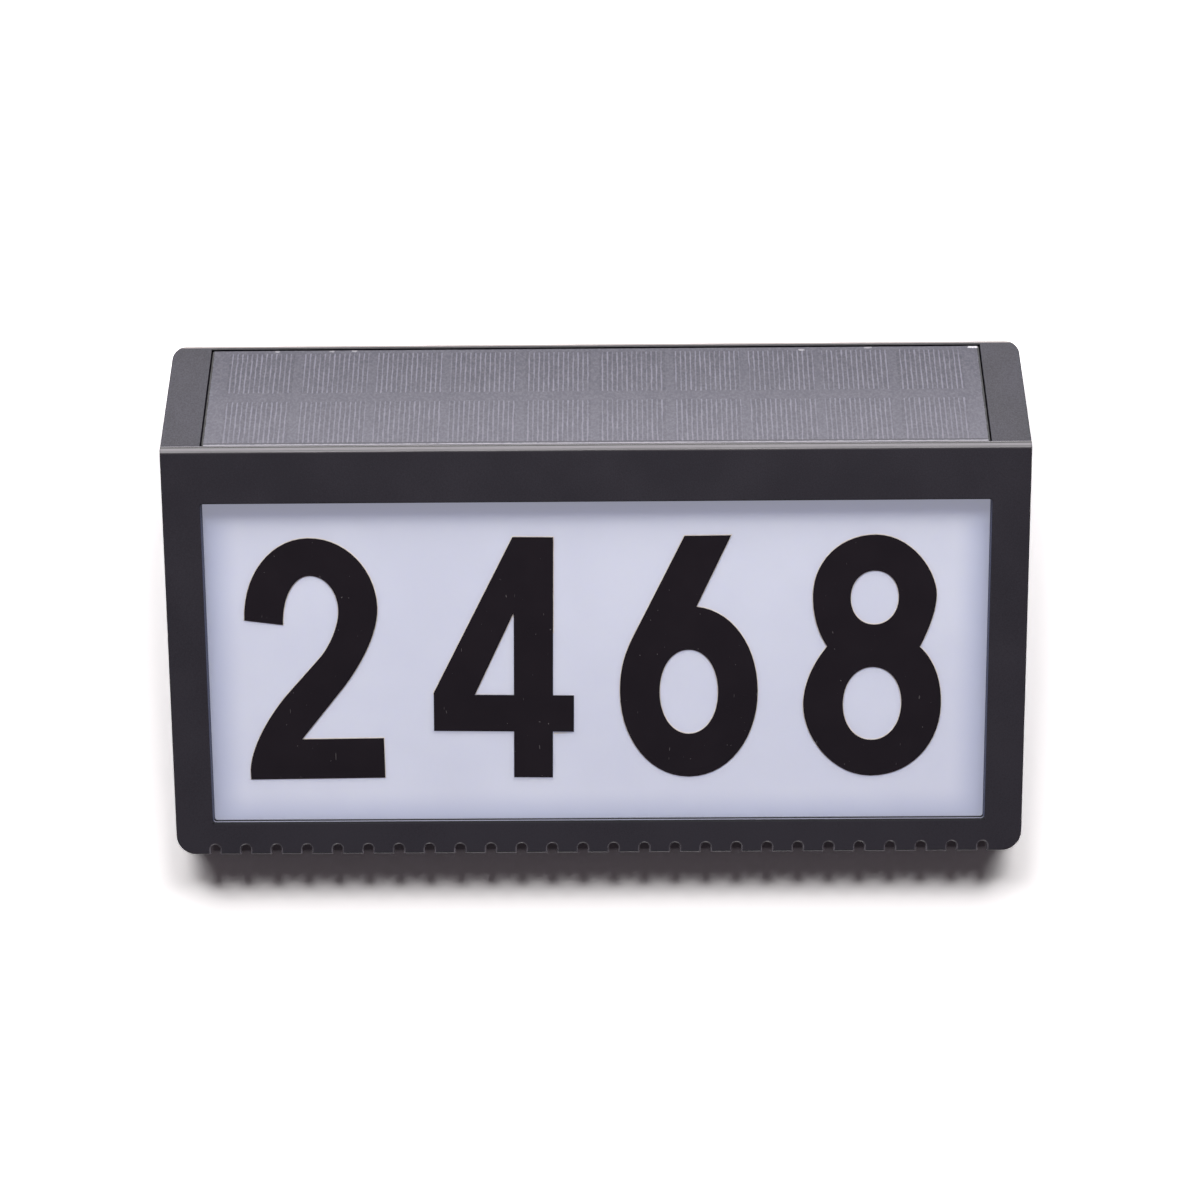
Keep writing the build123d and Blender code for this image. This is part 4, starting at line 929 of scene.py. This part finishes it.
# %% Numerals in place
RIDGE = Vector((0, RIDGE_Y, RIDGE_Z))
SHEET_DEPTH = 4.2
NUMERALS_DOWN = 73.2
GLUE_THICKNESS = 0.08
GLUE_SPREAD = 0.3
FILM_THICKNESS = 0.3
FILM_EDGE = 0.06
STUCK = {"2": (-99.6, 0.5), "4": (-32.6, -0.7), "6": (32.2, 0.4), "8": (97.0, -0.6)}  # across in mm, degrees
front = Matrix.Translation(RIDGE) @ Matrix.Rotation(math.radians(90) + LEAN, 4, "X")
for numeral, (across, crooked) in STUCK.items():
    spot = (
        front
        @ Matrix.Translation(Vector((across, -NUMERALS_DOWN, -SHEET_DEPTH)) * MM)
        @ Matrix.Rotation(math.radians(crooked), 4, "Z")
    )
    glue = cut_film(outlines[numeral], GLUE_THICKNESS, GLUE_SPREAD, 0.0)
    settle("glue_" + numeral, glue, spot, finishes["numeral_glue"], flat_front=True)
    film = cut_film(outlines[numeral], FILM_THICKNESS, 0.0, FILM_EDGE)
    lifted = spot @ Matrix.Translation((0, 0, GLUE_THICKNESS * MM))
    settle("numeral_" + numeral, film, lifted, finishes["numeral_film"], flat_front=True)

# %% [markdown]
# ## Cover screws
#
# Ten screws hold the rear cover. A real one has a low domed head and a cross recess with tapered wings. The
# head is a profile of a few points, spun round its axis. The recess is cut by two crossed wedges, because a
# boolean of simple shapes is cleaner than pulling single faces. One screw is made and then copied to the ten
# seats, so the ten are one piece, as the solid they replace is.

# %% One screw
SPIN_STEPS = 28
FULL_TURN = {"cent": (0, 0, 0), "axis": (0, 0, 1), "angle": math.tau, "steps": SPIN_STEPS, "use_merge": True}


def spun(profile):
    """Spin points of radius and height round the z axis."""
    bm = bmesh.new()
    knots = [bm.verts.new((radius, 0, height)) for radius, height in profile]
    edges = [bm.edges.new(pair) for pair in zip(knots, knots[1:])]
    bmesh.ops.spin(bm, geom=knots + edges, **FULL_TURN)
    bmesh.ops.remove_doubles(bm, verts=bm.verts, dist=0.001)
    bmesh.ops.recalc_face_normals(bm, faces=bm.faces)
    return bm


def object_from(bm, name):
    """A bare object for a boolean step."""
    mesh = bpy.data.meshes.new(name)
    bm.to_mesh(mesh)
    bm.free()
    made = bpy.data.objects.new(name, mesh)
    scene.collection.objects.link(made)
    return made


HEAD_RADIUS = 2.5
HEAD_HEIGHT = 1.1
SHANK_RADIUS = 1.1
SHANK_LENGTH = 3.0
DOME = [(0, HEAD_HEIGHT), (0.9, 1.06), (1.6, 0.93), (2.1, 0.7), (2.4, 0.42), (HEAD_RADIUS, 0.2)]
SHANK = [(HEAD_RADIUS, 0), (SHANK_RADIUS, 0), (SHANK_RADIUS, -SHANK_LENGTH), (0, -SHANK_LENGTH)]
head = object_from(spun(DOME + SHANK), "head")
print("the head is", 2 * HEAD_RADIUS, "mm wide")

# %% Cross recess
WING_SIZE = (2.9, 0.62, 1.5)
WING_TAPER = (0.35, 0.6, 1.0)
wings = bmesh.new()
for quarter in (0, 90):
    wedge = bmesh.ops.create_cube(wings, size=1.0)["verts"]
    bmesh.ops.scale(wings, verts=wedge, vec=WING_SIZE)
    low = [corner for corner in wedge if corner.co.z < 0]
    bmesh.ops.scale(wings, verts=low, vec=WING_TAPER)
    bmesh.ops.rotate(wings, verts=wedge, matrix=Matrix.Rotation(math.radians(quarter), 3, "Z"))
bmesh.ops.translate(wings, verts=wings.verts, vec=(0, 0, HEAD_HEIGHT - 0.1))
cutter = object_from(wings, "cutter")
recess = head.modifiers.new("recess", "BOOLEAN")
recess.operation = "DIFFERENCE"
recess.solver = "EXACT"
recess.use_self = True
recess.object = cutter
bpy.context.view_layer.update()
one_screw = bpy.data.meshes.new_from_object(head.evaluated_get(bpy.context.evaluated_depsgraph_get()))
for spare in (head, cutter):
    bpy.data.objects.remove(spare)
print("one screw has", len(one_screw.polygons), "faces")

# %% Ten screws in their seats
SEAT_Y = -1.2
SIDE_X = 143.8
TOP_X = 50.0
TOP_Z = 84.3
SIDE_HEIGHTS = (9.6, -33.7, -77.0, TOP_Z)
TURN = 37  # degrees from one screw to the next, because no two are driven to the same angle
seats = [(side * SIDE_X, height) for side in (-1, 1) for height in SIDE_HEIGHTS]
seats += [(side * TOP_X, TOP_Z) for side in (-1, 1)]
screws = bmesh.new()
for count, (across, height) in enumerate(seats):
    before = set(screws.verts)
    screws.from_mesh(one_screw)
    fresh = [corner for corner in screws.verts if corner not in before]
    seat = Matrix.Translation((across, SEAT_Y, height))
    turned = Matrix.Rotation(math.radians(-90), 4, "X") @ Matrix.Rotation(math.radians(TURN * count), 4, "Z")
    bmesh.ops.transform(screws, verts=fresh, matrix=seat @ turned)
screw_mesh = bpy.data.meshes.new("cover_screws")
screws.to_mesh(screw_mesh)
screws.free()
cover_screws = settle("cover_screws", screw_mesh, Matrix.Identity(4), finishes["zinc_screws"])
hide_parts("rear_cover_screws")
filled = [[round(side / MM, 1) for side in corner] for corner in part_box("rear_cover_screws")]
print("the solid screws filled", filled, "mm")
